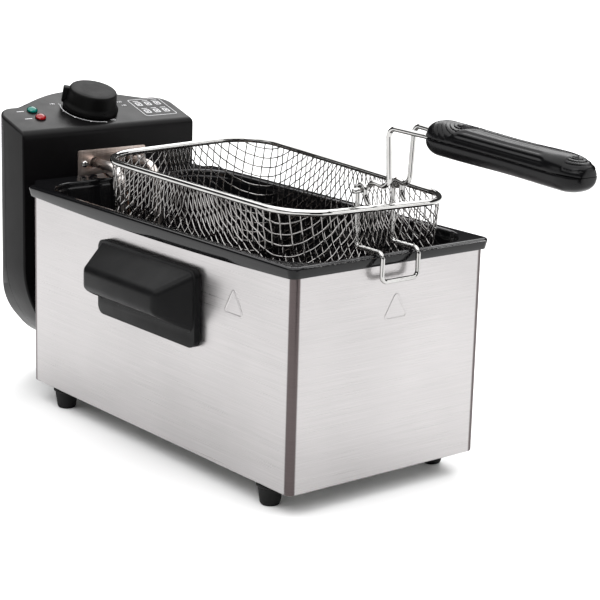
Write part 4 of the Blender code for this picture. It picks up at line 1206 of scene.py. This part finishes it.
# The numbers beside the dial: (text, x, distance up the panel's slope).
DIAL_NUMBERS = (
    ("190", -0.0302, 0.0505),
    ("130", 0.0356, 0.0441),
    ("150", 0.0364, 0.0369),
    ("170", 0.0087, 0.0111),
)
LEGEND_AT = (0.062, 0.0295)
LEGEND_FRAME = (0.0168, 0.0024, 0.0006)
# Each mark of the legend: (name, rise above its row, its outlines' half sizes, corner radius and steps).
LEGEND_MARKS = (
    ("legend_bar", 0.0058, ((0.0030, 0.0004, 0.0003, 3),)),
    ("legend_block", 0.0, ((0.0029, 0.0034, 0.0008, 4), (0.0019, 0.0024, 0.0005, 4))),
    ("legend_dot", 0.0, ((0.0009, 0.0012, 0.0004, 4),)),
)


def flat_mark(name, outlines, x, along):
    """A printed mark on the panel: flat outlines drawn about a point."""
    made = extruded(name, outlines, 0.0, 0.00006)
    made.data.transform(panel_matrix(x, along, 0.00004))
    return made


def band(radius, width, start, end, steps=60):
    """A closed outline of a part ring, angles in degrees."""
    outside = arc((0, 0), radius + width / 2, start, end, steps)
    inside = arc((0, 0), radius - width / 2, end, start, steps)
    return outside + inside


def digits(name, text, size, x, along):
    """Generic dial numbers, printed on the panel about a point."""
    curve = bpy.data.curves.new(name, "FONT")
    curve.body = text
    curve.size = size
    curve.align_x = "CENTER"
    curve.align_y = "CENTER"
    curve.extrude = 0.00003
    curve.offset = 0.00006
    mesh = curve_mesh(curve)
    mesh.transform(panel_matrix(x, along, 0.00007))
    return linked(name, mesh)


def panel_print():
    """The white print on the panel: a part ring with numbers round the dial, and a framed legend."""
    parts = [flat_mark("dial_ring", [band(0.0266, 0.0007, 150, 270)], 0, DIAL_ALONG)]
    for angle in range(150, 271, 30):
        tick = band(0.0276, 0.0016, angle - 0.9, angle + 0.9, 4)
        parts.append(flat_mark("dial_tick", [tick], 0, DIAL_ALONG))
    for text, x, along in DIAL_NUMBERS:
        parts.append(digits("dial_number", text, 0.0034, x, along))
    label = rounded_rectangle(0.0036, 0.0005, 0.0004, 4)
    for along in LAMPS_ALONG.values():
        parts.append(flat_mark("lamp_label", [label], LAMP_X - 0.0118, along))
    half, corner, line = LEGEND_FRAME
    frames = [rounded_rectangle(half - inset, half - inset, corner - inset, 8) for inset in (0.0, line)]
    parts.append(flat_mark("legend_frame", frames, *LEGEND_AT))
    for row_at in (0.0072, -0.0078):
        for column in (-0.0098, 0.0, 0.0098):
            for name, rise, sizes in LEGEND_MARKS:
                outlines = [rounded_rectangle(*size, (column, row_at + rise)) for size in sizes]
                parts.append(flat_mark(name, outlines, *LEGEND_AT))
    show(joined("panel_print", parts), "head", "white_ink")


def element_plate():
    """The stainless plate with its holes and rounded edges, and its two screws."""
    centre = (PLATE_LOW + PLATE_HIGH) / 2
    half = (PLATE_HIGH - PLATE_LOW) / 2
    outlines = [rounded_rectangle(PLATE_HALF_WIDTH, half, 0.0018, 8, (0, centre))]
    for x, z, radius in FRONT_HOLES:
        outlines.append(circle((x, z), radius, 48 if abs(x) == ELEMENT_X else 24))
    back = HEAD_FRONT - GAP
    plate = extruded("element_flange_plate", outlines, back - PLATE_THICKNESS, back, "Y")
    show(soften(plate, 0.0004, 3), "head", "plate_steel", "element_plate")
    for side, sign in (("left", -1), ("right", 1)):
        at = aimed((sign * PLATE_SCREW_X, back - PLATE_THICKNESS - GAP, PLATE_SCREW_Z), 90, "X")
        screw_as(f"plate_screw_{side}", "head", at, 0.007, 0.0030)


def heating_element():
    """The sheathed element and the sensor bulb on its capillary."""
    behind = HEAD_FRONT + 0.012
    left = [
        (-ELEMENT_X, behind, ELEMENT_Z),
        (-ELEMENT_X, ELEMENT_DROP_Y, ELEMENT_Z),
        (-ELEMENT_X, ELEMENT_DROP_Y, ELEMENT_LOOP_Z),
        (-ELEMENT_OUTER_X, 0.135, ELEMENT_LOOP_Z),
        (-ELEMENT_OUTER_X, -0.125, ELEMENT_LOOP_Z),
        (-ELEMENT_INNER_X, -0.125, ELEMENT_LOOP_Z),
        (-ELEMENT_INNER_X, 0.100, ELEMENT_LOOP_Z),
    ]
    element = tube("element_tube", mirrored_path(left, 0.019, 16), ELEMENT_RADIUS, 28)
    show(element, "head", "element_steel", "heating_element")
    clear = ELEMENT_LOOP_Z + ELEMENT_RADIUS + GAP + 0.001 + GAP
    bulb_z = clear + BULB_RADIUS
    corners = [
        (SENSOR_X, behind, SENSOR_Z),
        (SENSOR_X, HEAD_FRONT - 0.034, SENSOR_Z),
        (0.0, 0.148, clear + 0.030),
        (0.0, 0.135, bulb_z),
        (0.0, 0.085, bulb_z),
    ]
    path = rounded_path(corners, 0.010, 12)
    widths = [1.0] * len(path)
    swell = BULB_RADIUS / SENSOR_RADIUS
    ends = ((0.084, 1.0), (0.0835, 1.8), (0.0825, swell * 0.93), (0.081, swell))
    for place_y, wide in ends + ((-0.009, swell), (-0.0098, swell * 0.8)):
        path.append(Vector((0.0, place_y, bulb_z)))
        widths.append(wide)
    sensor = tube("sensor_bulb_and_capillary", path, SENSOR_RADIUS, 20, radii=widths)
    show(sensor, "head", "copper", "temperature_sensor")


# ---------------- basket


def leaned(points):
    """Basket points with the rise to the back, the slight twist and the outward bow of the long sides."""
    points = np.array(points, dtype=float)
    from_middle = points[..., 1] - BASKET_MIDDLE
    bow = BASKET_BOW * (1 - np.clip(from_middle / BASKET_HALF_LENGTH, -1, 1) ** 2)
    points[..., 0] *= 1 + bow / BASKET_HALF
    points[..., 2] += (BASKET_TILT + BASKET_TWIST * points[..., 0]) * from_middle
    return points


def basket_rim():
    """The round wire that edges the basket."""
    path = level_ring(BASKET_HALF, BASKET_HALF_LENGTH, BASKET_CORNER, BASKET_RIM_Z, 20, BASKET_MIDDLE)
    show(tube("rim_wire", leaned(path), RIM_WIRE, 24, cyclic=True), "basket", "chrome", "basket_rim")


def basket_hook():
    """One bent wire: an eye for each handle pin, two drops inside the front wall, a loop over the rim."""
    eye = WIRE + HOOK_WIRE + GAP
    drop_y = PIVOT_Y + eye
    level = RIM_TOP + GAP + HOOK_WIRE
    left = [
        (-HOOK_X, PIVOT_Y - eye - 0.0035, PIVOT_Z - 0.0095),
        (-HOOK_X, PIVOT_Y - eye, PIVOT_Z - 0.003),
        (-HOOK_X, PIVOT_Y - eye, PIVOT_Z + eye),
        (-HOOK_X, drop_y, PIVOT_Z + eye),
        (-HOOK_X, drop_y, level),
        (-HOOK_X, HOOK_OUT_Y, level),
        (-HOOK_X, HOOK_OUT_Y, HOOK_BOTTOM_Z),
    ]
    made = tube("hook_wire", mirrored_path(left, 0.0045, 10), HOOK_WIRE, 22)
    show(made, "basket", "chrome", "basket_hook")


def around_corner(first, second):
    """How far points lie past two crossing edges: each way's share of the direction, and the distance."""
    out_first = np.maximum(first, 0)
    out_second = np.maximum(second, 0)
    length = np.sqrt(out_first ** 2 + out_second ** 2)
    inside = length < TINY
    share_first = np.where(inside, (first > second) * 1.0, out_first / np.maximum(length, TINY))
    share_second = np.where(inside, (first <= second) * 1.0, out_second / np.maximum(length, TINY))
    return share_first, share_second, np.where(inside, np.maximum(first, second), length)


def tub_surface(points):
    """The nearest points of the basket's tub to the given points, and the outward normals there."""
    fall = np.clip((BASKET_RIM_Z - points[:, 2]) / (BASKET_RIM_Z - BASKET_FLOOR_Z), 0, 1)
    taper = BASKET_TAPER * fall
    radius = BASKET_FLOOR_RADIUS
    corner = BASKET_CORNER - radius
    x = points[:, 0]
    y = points[:, 1] - BASKET_MIDDLE
    over_x = np.abs(x) - (BASKET_HALF - taper - radius - corner)
    over_y = np.abs(y) - (BASKET_HALF_LENGTH - taper - radius - corner)
    side_x, side_y, beyond = around_corner(over_x, over_y)
    to_wall, to_floor, gap = around_corner(beyond - corner, (BASKET_FLOOR_Z + radius) - points[:, 2])
    normal = np.stack([side_x * np.sign(x) * to_wall, side_y * np.sign(y) * to_wall, -to_floor], axis=1)
    return points - normal * (gap - radius)[:, None], normal


def fold_up(flat):
    """A first guess at the drape: flat points inside the floor stay, those outside fold up the walls."""
    inset = 0.004
    corner = BASKET_CORNER - inset
    straight = np.array([BASKET_HALF, BASKET_HALF_LENGTH]) - BASKET_TAPER - inset - corner
    over = np.abs(flat) - straight
    out = np.maximum(over, 0)
    length = np.sqrt((out ** 2).sum(axis=1))
    beyond = np.maximum(length - corner, 0.0)
    shrink = np.where(beyond > 0, corner / np.maximum(length, TINY), 1.0)
    moved = np.where(over > 0, np.sign(flat) * (straight + out * shrink[:, None]), flat)
    return np.column_stack([moved[:, 0], moved[:, 1] + BASKET_MIDDLE, BASKET_FLOOR_Z + beyond])


# Each stage halves the lattice's pitch: (rounds, share evened out in the first round, in the last).
DRAPE_STAGES = ((600, 0.30, 0.05), (600, 0.20, 0.05), (800, 0.15, 0.03), (1200, 0.10, 0.01))


def flat_net(count, pitch):
    """A square lattice of net crossings laid flat on the bias."""
    index_i, index_j = np.meshgrid(np.arange(count), np.arange(count), indexing="ij")
    u = (index_i - (count - 1) / 2) * pitch
    v = (index_j - (count - 1) / 2) * pitch
    return np.stack([((u + v) / math.sqrt(2)).ravel(), ((v - u) / math.sqrt(2)).ravel()], axis=1)


def pull_taut(grid, used, pitch):
    """Moves neighbouring crossings to one pitch apart, along both sets of wires."""
    for lines, mask in ((grid, used), (grid.transpose(1, 0, 2), used.T)):
        for parity in (0, 1):
            a = lines[parity:-1:2]
            b = lines[parity + 1 :: 2]
            both = mask[parity:-1:2] & mask[parity + 1 :: 2]
            line = b - a
            length = np.sqrt((line ** 2).sum(axis=2))
            move = np.where(both, 0.5 * (length - pitch) / np.maximum(length, TINY), 0)[..., None] * line
            a += move
            b -= move


def even_out(grid, used, share):
    """Moves each crossing a share of the way to the mean of its four neighbours."""
    inner = used[1:-1, 1:-1] & used[:-2, 1:-1] & used[2:, 1:-1] & used[1:-1, :-2] & used[1:-1, 2:]
    mean = (grid[:-2, 1:-1] + grid[2:, 1:-1] + grid[1:-1, :-2] + grid[1:-1, 2:]) / 4
    move = share * (mean - grid[1:-1, 1:-1])
    grid[1:-1, 1:-1] += np.where(inner[..., None], move, 0)


def refined(grid):
    """The lattice with a new crossing between every two."""
    count = 2 * grid.shape[0] - 1
    made = np.zeros((count, count, 3))
    made[::2, ::2] = grid
    made[1::2, ::2] = (grid[1:] + grid[:-1]) / 2
    made[:, 1::2] = (made[:, :-1:2] + made[:, 2::2]) / 2
    return made


def drape_net():
    """Drapes a square wire net, laid on the bias, into the tub: wires keep their length, crossings turn."""
    count = 12
    pitch = NET_PITCH * 8
    grid = fold_up(flat_net(count, pitch)).reshape(count, count, 3)
    for rounds, rough, fine in DRAPE_STAGES:
        if grid.shape[0] < count:
            grid = refined(grid)
        guess = fold_up(flat_net(count, pitch)).reshape(count, count, 3)
        used = guess[..., 2] < BASKET_RIM_Z + max(0.020, pitch)
        for turn in range(rounds):
            pull_taut(grid, used, pitch)
            points, _ = tub_surface(grid.reshape(-1, 3))
            grid[:] = points.reshape(grid.shape)
            even_out(grid, used, rough + (fine - rough) * turn / (rounds - 1))
        count = 2 * count - 1
        pitch /= 2
    points, normal = tub_surface(grid.reshape(-1, 3))
    return points.reshape(grid.shape), normal.reshape(grid.shape), used


def wire_line(points, normals, signs):
    """A woven wire through its crossings: over, level, under, with one point between crossings."""
    line = points + normals * (signs * NET_WIRE)[:, None]
    made = []
    for index in range(len(line)):
        made.append(line[index])
        if index < len(line) - 1:
            before = line[max(index - 1, 0)]
            after = line[min(index + 2, len(line) - 1)]
            made.append((9 * (line[index] + line[index + 1]) - before - after) / 16)
    return np.array(made)


def runs(flags):
    """The unbroken runs of true places in a row of flags."""
    chosen = np.nonzero(flags)[0]
    return [run for run in np.split(chosen, np.nonzero(np.diff(chosen) > 1)[0] + 1) if len(run)]


def cut_off(path, part, top):
    """The part of a wire that lies below a height, ended where the wire crosses it."""
    course = [path[index] for index in part]
    for end, beyond in ((0, part[0] - 1), (-1, part[-1] + 1)):
        if 0 <= beyond < len(path):
            inner = course[end]
            outer = path[beyond]
            cut = inner + (outer - inner) * ((top - inner[2]) / (outer[2] - inner[2]))
            course.insert(0 if end == 0 else len(course), cut)
    return course


def basket_net():
    """The woven wire mesh of the basket, each wire a tube cut off at the rim."""
    grid, normal, used = drape_net()
    top = BASKET_RIM_Z - 0.0004
    verts = []
    faces = []
    sets = ((grid, normal, used), (grid.transpose(1, 0, 2), normal.transpose(1, 0, 2), used.T))
    for axis, (lines, normals, masks) in enumerate(sets):
        for row in range(lines.shape[0]):
            for run in runs(masks[row]):
                if len(run) < 3:
                    continue
                signs = np.where((run + row + axis) % 2 == 0, 1.0, -1.0)
                path = wire_line(lines[row][run], normals[row][run], signs)
                for part in runs(path[:, 2] < top):
                    add_wire(verts, faces, leaned(cut_off(path, part, top)))
    mesh = bpy.data.meshes.new("woven_net")
    mesh.from_pydata(verts, [], faces)
    smooth(mesh, 80)
    show(linked("woven_net", mesh), "basket", "net_wire", "basket_mesh", slot="chrome")


def add_wire(verts, faces, course):
    """Adds one wire's tube to the lists."""
    if len(course) < 2:
        return
    tangents = np.gradient(course, axis=0)
    tangents /= np.maximum(np.linalg.norm(tangents, axis=1), TINY)[:, None]
    start = len(verts)
    sides = 6
    side = np.cross(tangents[0], (0.31, 0.17, 0.93))
    side /= np.linalg.norm(side)
    for point, tangent in zip(course, tangents):
        side = side - tangent * side.dot(tangent)
        side /= np.linalg.norm(side)
        other = np.cross(tangent, side)
        for step in range(sides):
            angle = 2 * math.pi * step / sides
            verts.append(tuple(point + (side * math.cos(angle) + other * math.sin(angle)) * NET_WIRE))
    last = start + (len(course) - 1) * sides
    for base in range(start, last, sides):
        for step in range(sides):
            after = (step + 1) % sides
            faces.append((base + step, base + after, base + sides + after, base + sides + step))
    faces.append(tuple(reversed(range(start, start + sides))))
    faces.append(tuple(range(last, last + sides)))


# ---------------- basket handle


GRIP_LENGTH = (GRIP_FAR - GRIP_NEAR).length


def grip_frame():
    """A frame along the grip: local Y runs from the far end to the near end, local Z is up."""
    tilt = math.atan2(GRIP_NEAR.z - GRIP_FAR.z, GRIP_NEAR.y - GRIP_FAR.y)
    return Matrix.Translation(GRIP_NEAR) @ Matrix.Rotation(tilt, 4, "X")


def handle_path():
    """The handle wire's centre line, from pin to pin, with its bight inside the grip."""
    in_grip = 0.0095
    at = grip_frame()
    left = [
        (-PIN_X, PIVOT_Y, PIVOT_Z),
        (-LEG_X, PIVOT_Y, PIVOT_Z),
        (-LEG_X, PIVOT_Y - 0.004, PIVOT_Z + 0.0062),
        (-LEG_LOW_X, LEG_Y, PIVOT_Z + 0.0036),
        (-LEG_TOP_X, LEG_Y, LEG_TOP_Z),
        tuple(at @ Vector((-in_grip, 0, 0))),
        tuple(at @ Vector((-in_grip, -0.86 * GRIP_LENGTH, 0))),
    ]
    return mirrored_path(left, 0.0068, 12)


# The ribs fan out round two points of the grip: (share of its length, the way the ribs open).
GRIP_FANS = ((0.21, -1), (0.90, 1))
FLUTE_SPAN = (0.22, 0.80)
RIB_PITCH = 0.0031
RIB_FIRST = 0.003
RIB_LAST = 0.025
RIB_DEPTH = 0.0008
FAN_TIP = 0.014
FAN_SLOPE = 1.1
FLUTES = 18
FLUTE_DEPTH = 0.0004


def squarer(value):
    """A sine or cosine drawn out so that a round section gets a little squarer."""
    return math.copysign(abs(value) ** 0.85, value)


def grip_section(share, angle):
    """A point of the grip's skin: share along it, angle round it (0 is +X, 90 degrees is up)."""
    rise = math.sin(angle)
    from_end = min(share, 1 - share) * GRIP_LENGTH
    far_blunt = 0.026 if rise > 0 else 0.018
    blunt = far_blunt if share > 0.5 else 0.013
    full = 1 - (1 - min(from_end / blunt, 1.0)) ** 2
    size = 0.36 + 0.64 * math.sqrt(full)
    waist = 1 - 0.05 * math.exp(-(((share - 0.55) / 0.22) ** 2))
    across = squarer(math.cos(angle)) * GRIP_HALF_WIDTH * size * waist
    up = squarer(rise) * GRIP_HALF_HEIGHT * size * waist
    fade = min(max((rise - 0.10) / 0.25, 0.0), 1.0)
    cut = 0.0
    for centre, sign in GRIP_FANS:
        along = (share - centre) * sign * GRIP_LENGTH
        away = math.hypot(along, across * 1.25)
        within = along + FAN_TIP - FAN_SLOPE * abs(across) if sign < 0 else along
        if within > 0 and RIB_FIRST < away < RIB_LAST:
            step = (away - RIB_FIRST) % RIB_PITCH / RIB_PITCH
            cut = RIB_DEPTH * (1 - step) ** 1.5 * min(within / 0.0015, 1.0)
    spare = min(share - FLUTE_SPAN[0], FLUTE_SPAN[1] - share) * GRIP_LENGTH
    spare += FAN_SLOPE * abs(across) - FAN_TIP
    middle_part = min(max(spare / 0.004, 0.0), 1.0)
    flute = FLUTE_DEPTH * (0.5 - 0.5 * math.cos(angle * FLUTES)) * middle_part
    shrink = 1 - (cut + flute) * fade / GRIP_HALF_HEIGHT
    return across * shrink, up * shrink


def grip_half(name, node, sign, channel):
    """One half of the grip: skin stations along its length, closed by the flat joint face."""
    at = grip_frame()
    stations = 260
    sides = 72
    form = bmesh.new()
    rows = []
    lift = 0.00022
    for station in range(stations + 1):
        share = 0.5 * (1 - math.cos(math.pi * station / stations))
        share = 0.35 * share + 0.65 * station / stations
        row = []
        for side in range(sides + 1):
            angle = sign * math.pi * side / sides
            across, up = grip_section(share, angle)
            edge = min(abs(up) / 0.0012, 1.0)
            across *= 1 - 0.035 * (1 - edge) ** 2
            row.append(form.verts.new(at @ Vector((across, -share * GRIP_LENGTH, up + sign * lift))))
        rows.append(row)
    skin(form, rows)
    cap(form, rows)
    half = piece(name, form, degrees=40)
    boolean(half, [channel], degrees=40)
    show(half, "basket_handle", "grip_plastic", node)


def handle_parts():
    """The handle wire, the grip's halves round it and their screws."""
    path = handle_path()
    show(tube("handle_rod", path, WIRE, 24), "basket_handle", "chrome", "handle_wire")
    for name, node, sign in (("grip_top_half", "grip_upper", 1), ("grip_bottom_half", "grip_lower", -1)):
        grip_half(name, node, sign, tube("wire_channel_cutter", path, WIRE + GAP, 20))
    at = grip_frame()
    for label, share in zip(("near", "far"), GRIP_SCREWS):
        under = at @ Matrix.Translation((0, -share * GRIP_LENGTH, -0.0105)) @ UPSIDE_DOWN
        screw_as(f"grip_screw_{label}", "basket_handle", under, 0.010)


# ---------------- carried-over nodes


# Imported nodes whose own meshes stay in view, and their finishes.
CARRIED = {
    "base_plate": "zinc_steel",
    "slide_bracket": "bracket_plastic",
    "slide_tongue": "head_plastic",
    "thermostat_body": "ceramic",
    "thermostat_shaft": "zinc_steel",
    "element_strap_front": "plate_steel",
    "element_strap_back": "plate_steel",
    "terminal_block": "ceramic",
    "thermal_cutout": "ceramic",
    "seat_switch": "knob_plastic",
}


def finish_carried_nodes():
    """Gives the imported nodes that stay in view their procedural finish."""
    for node, surface in CARRIED.items():
        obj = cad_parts[node]
        obj.data.materials.clear()
        obj.data.materials.append(SURFACES[surface])


# ---------------- stage


# Where the camera stands, and its azimuth, elevation and roll in degrees.
CAMERA_AT = Vector((-0.86191, -1.12398, 0.47566))
CAMERA_TURNS = (-39.64, 13.73, 1.742)


def camera():
    """The camera at the photographed angle."""
    data = bpy.data.cameras.new("camera")
    data.lens = 109.25
    data.sensor_width = 36.0
    data.shift_x = -0.0200
    data.shift_y = -0.0323
    data.clip_end = 200.0
    made = linked("camera", data)
    azimuth, elevation, roll = (math.radians(degrees) for degrees in CAMERA_TURNS)
    level = math.cos(elevation)
    back = Vector((math.sin(azimuth) * level, -math.cos(azimuth) * level, math.sin(elevation)))
    right = (-back).cross(Vector((0, 0, 1))).normalized()
    up = right.cross(-back)
    x_axis = right * math.cos(roll) + up * math.sin(roll)
    y_axis = up * math.cos(roll) - right * math.sin(roll)
    turn = Matrix((x_axis, y_axis, back)).transposed().to_4x4()
    made.matrix_world = Matrix.Translation(CAMERA_AT + SHIFT) @ turn
    bpy.context.scene.camera = made


def area_light(name, at, target, size, power):
    """A soft rectangular light that looks at a point."""
    data = bpy.data.lights.new(name, "AREA")
    data.shape = "RECTANGLE"
    data.size, data.size_y = size
    data.energy = power
    look = Vector(target) - Vector(at)
    turn = look.to_track_quat("-Z", "Y").to_matrix().to_4x4()
    linked(name, data).matrix_world = Matrix.Translation(at) @ turn


CARD_AT = Vector((-0.14, -0.66, 0.16))
CARD_HALF = (0.15, 0.16)


def stage_sheet(name, corners, material):
    """A flat sheet of the stage through its corners."""
    form = bmesh.new()
    form.faces.new([form.verts.new(corner) for corner in corners])
    made = piece(name, form)
    made.data.materials.append(material)
    return made


def black_card():
    """A black card in front, out of every view, that gives the bright wires their dark cores."""
    across, up = CARD_HALF
    corners = [(-across, 0, -up), (across, 0, -up), (across, 0, up), (-across, 0, up)]
    felt = mottled("card_felt", 0.0, 0.002, 40.0, 0.5, gloss=0.0)
    card = stage_sheet("black_card", [Vector(corner) + CARD_AT for corner in corners], felt)
    card.visible_camera = False
    card.visible_diffuse = False
    card.visible_shadow = False


WALL_TONE = 0.06
OVERHEAD_POWER = 5.2
OVERHEAD_SPREAD = math.radians(110)
# Each soft light: (where it stands, what it looks at, its width and height, its power).
LIGHTS = {
    "key_light": ((-1.7, -0.9, 2.6), (0, -0.1, 0.2), (1.4, 1.4), 12),
    "back_light": ((2.0, 1.9, 2.3), (0, 0.1, 0.2), (2.0, 1.6), 31),
    "left_light": ((-2.6, 0.9, 0.75), (0, 0, 0.12), (1.2, 0.7), 4),
    "front_light": ((1.9, -2.1, 0.9), (0, -0.1, 0.12), (1.2, 1.0), 9),
}


def studio():
    """A pale floor, a wide light overhead, four soft lights and dark grey walls."""
    reach = 60.0
    corners = [(-reach, -reach, 0), (reach, -reach, 0), (reach, reach, 0), (-reach, reach, 0)]
    stage_sheet("studio_floor", corners, mottled("floor_paint", 0.90, 0.93, 2.0, 0.6))
    world = bpy.data.worlds.new("studio_walls")
    world.use_nodes = True
    walls = world.node_tree.nodes["Background"]
    walls.inputs["Color"].default_value = (*grey(WALL_TONE), 1)
    walls.inputs["Strength"].default_value = 1.0
    bpy.context.scene.world = world
    bpy.context.scene.view_settings.view_transform = "Standard"
    overhead = bpy.data.lights.new("overhead", "SUN")
    overhead.energy = OVERHEAD_POWER
    overhead.angle = OVERHEAD_SPREAD
    linked("overhead", overhead)
    for name, (at, target, size, power) in LIGHTS.items():
        area_light(name, at, target, size, power)


# ---------------- assembly


camera()
studio()
black_card()
housing_shell()
feet()
side_handle("left", -1)
side_handle("right", 1)
bracket_screws()
oil_pot()
head_shells()
cover_parts()
lamps()
knob()
panel_print()
element_plate()
heating_element()
basket_rim()
basket_net()
basket_hook()
handle_parts()
finish_carried_nodes()
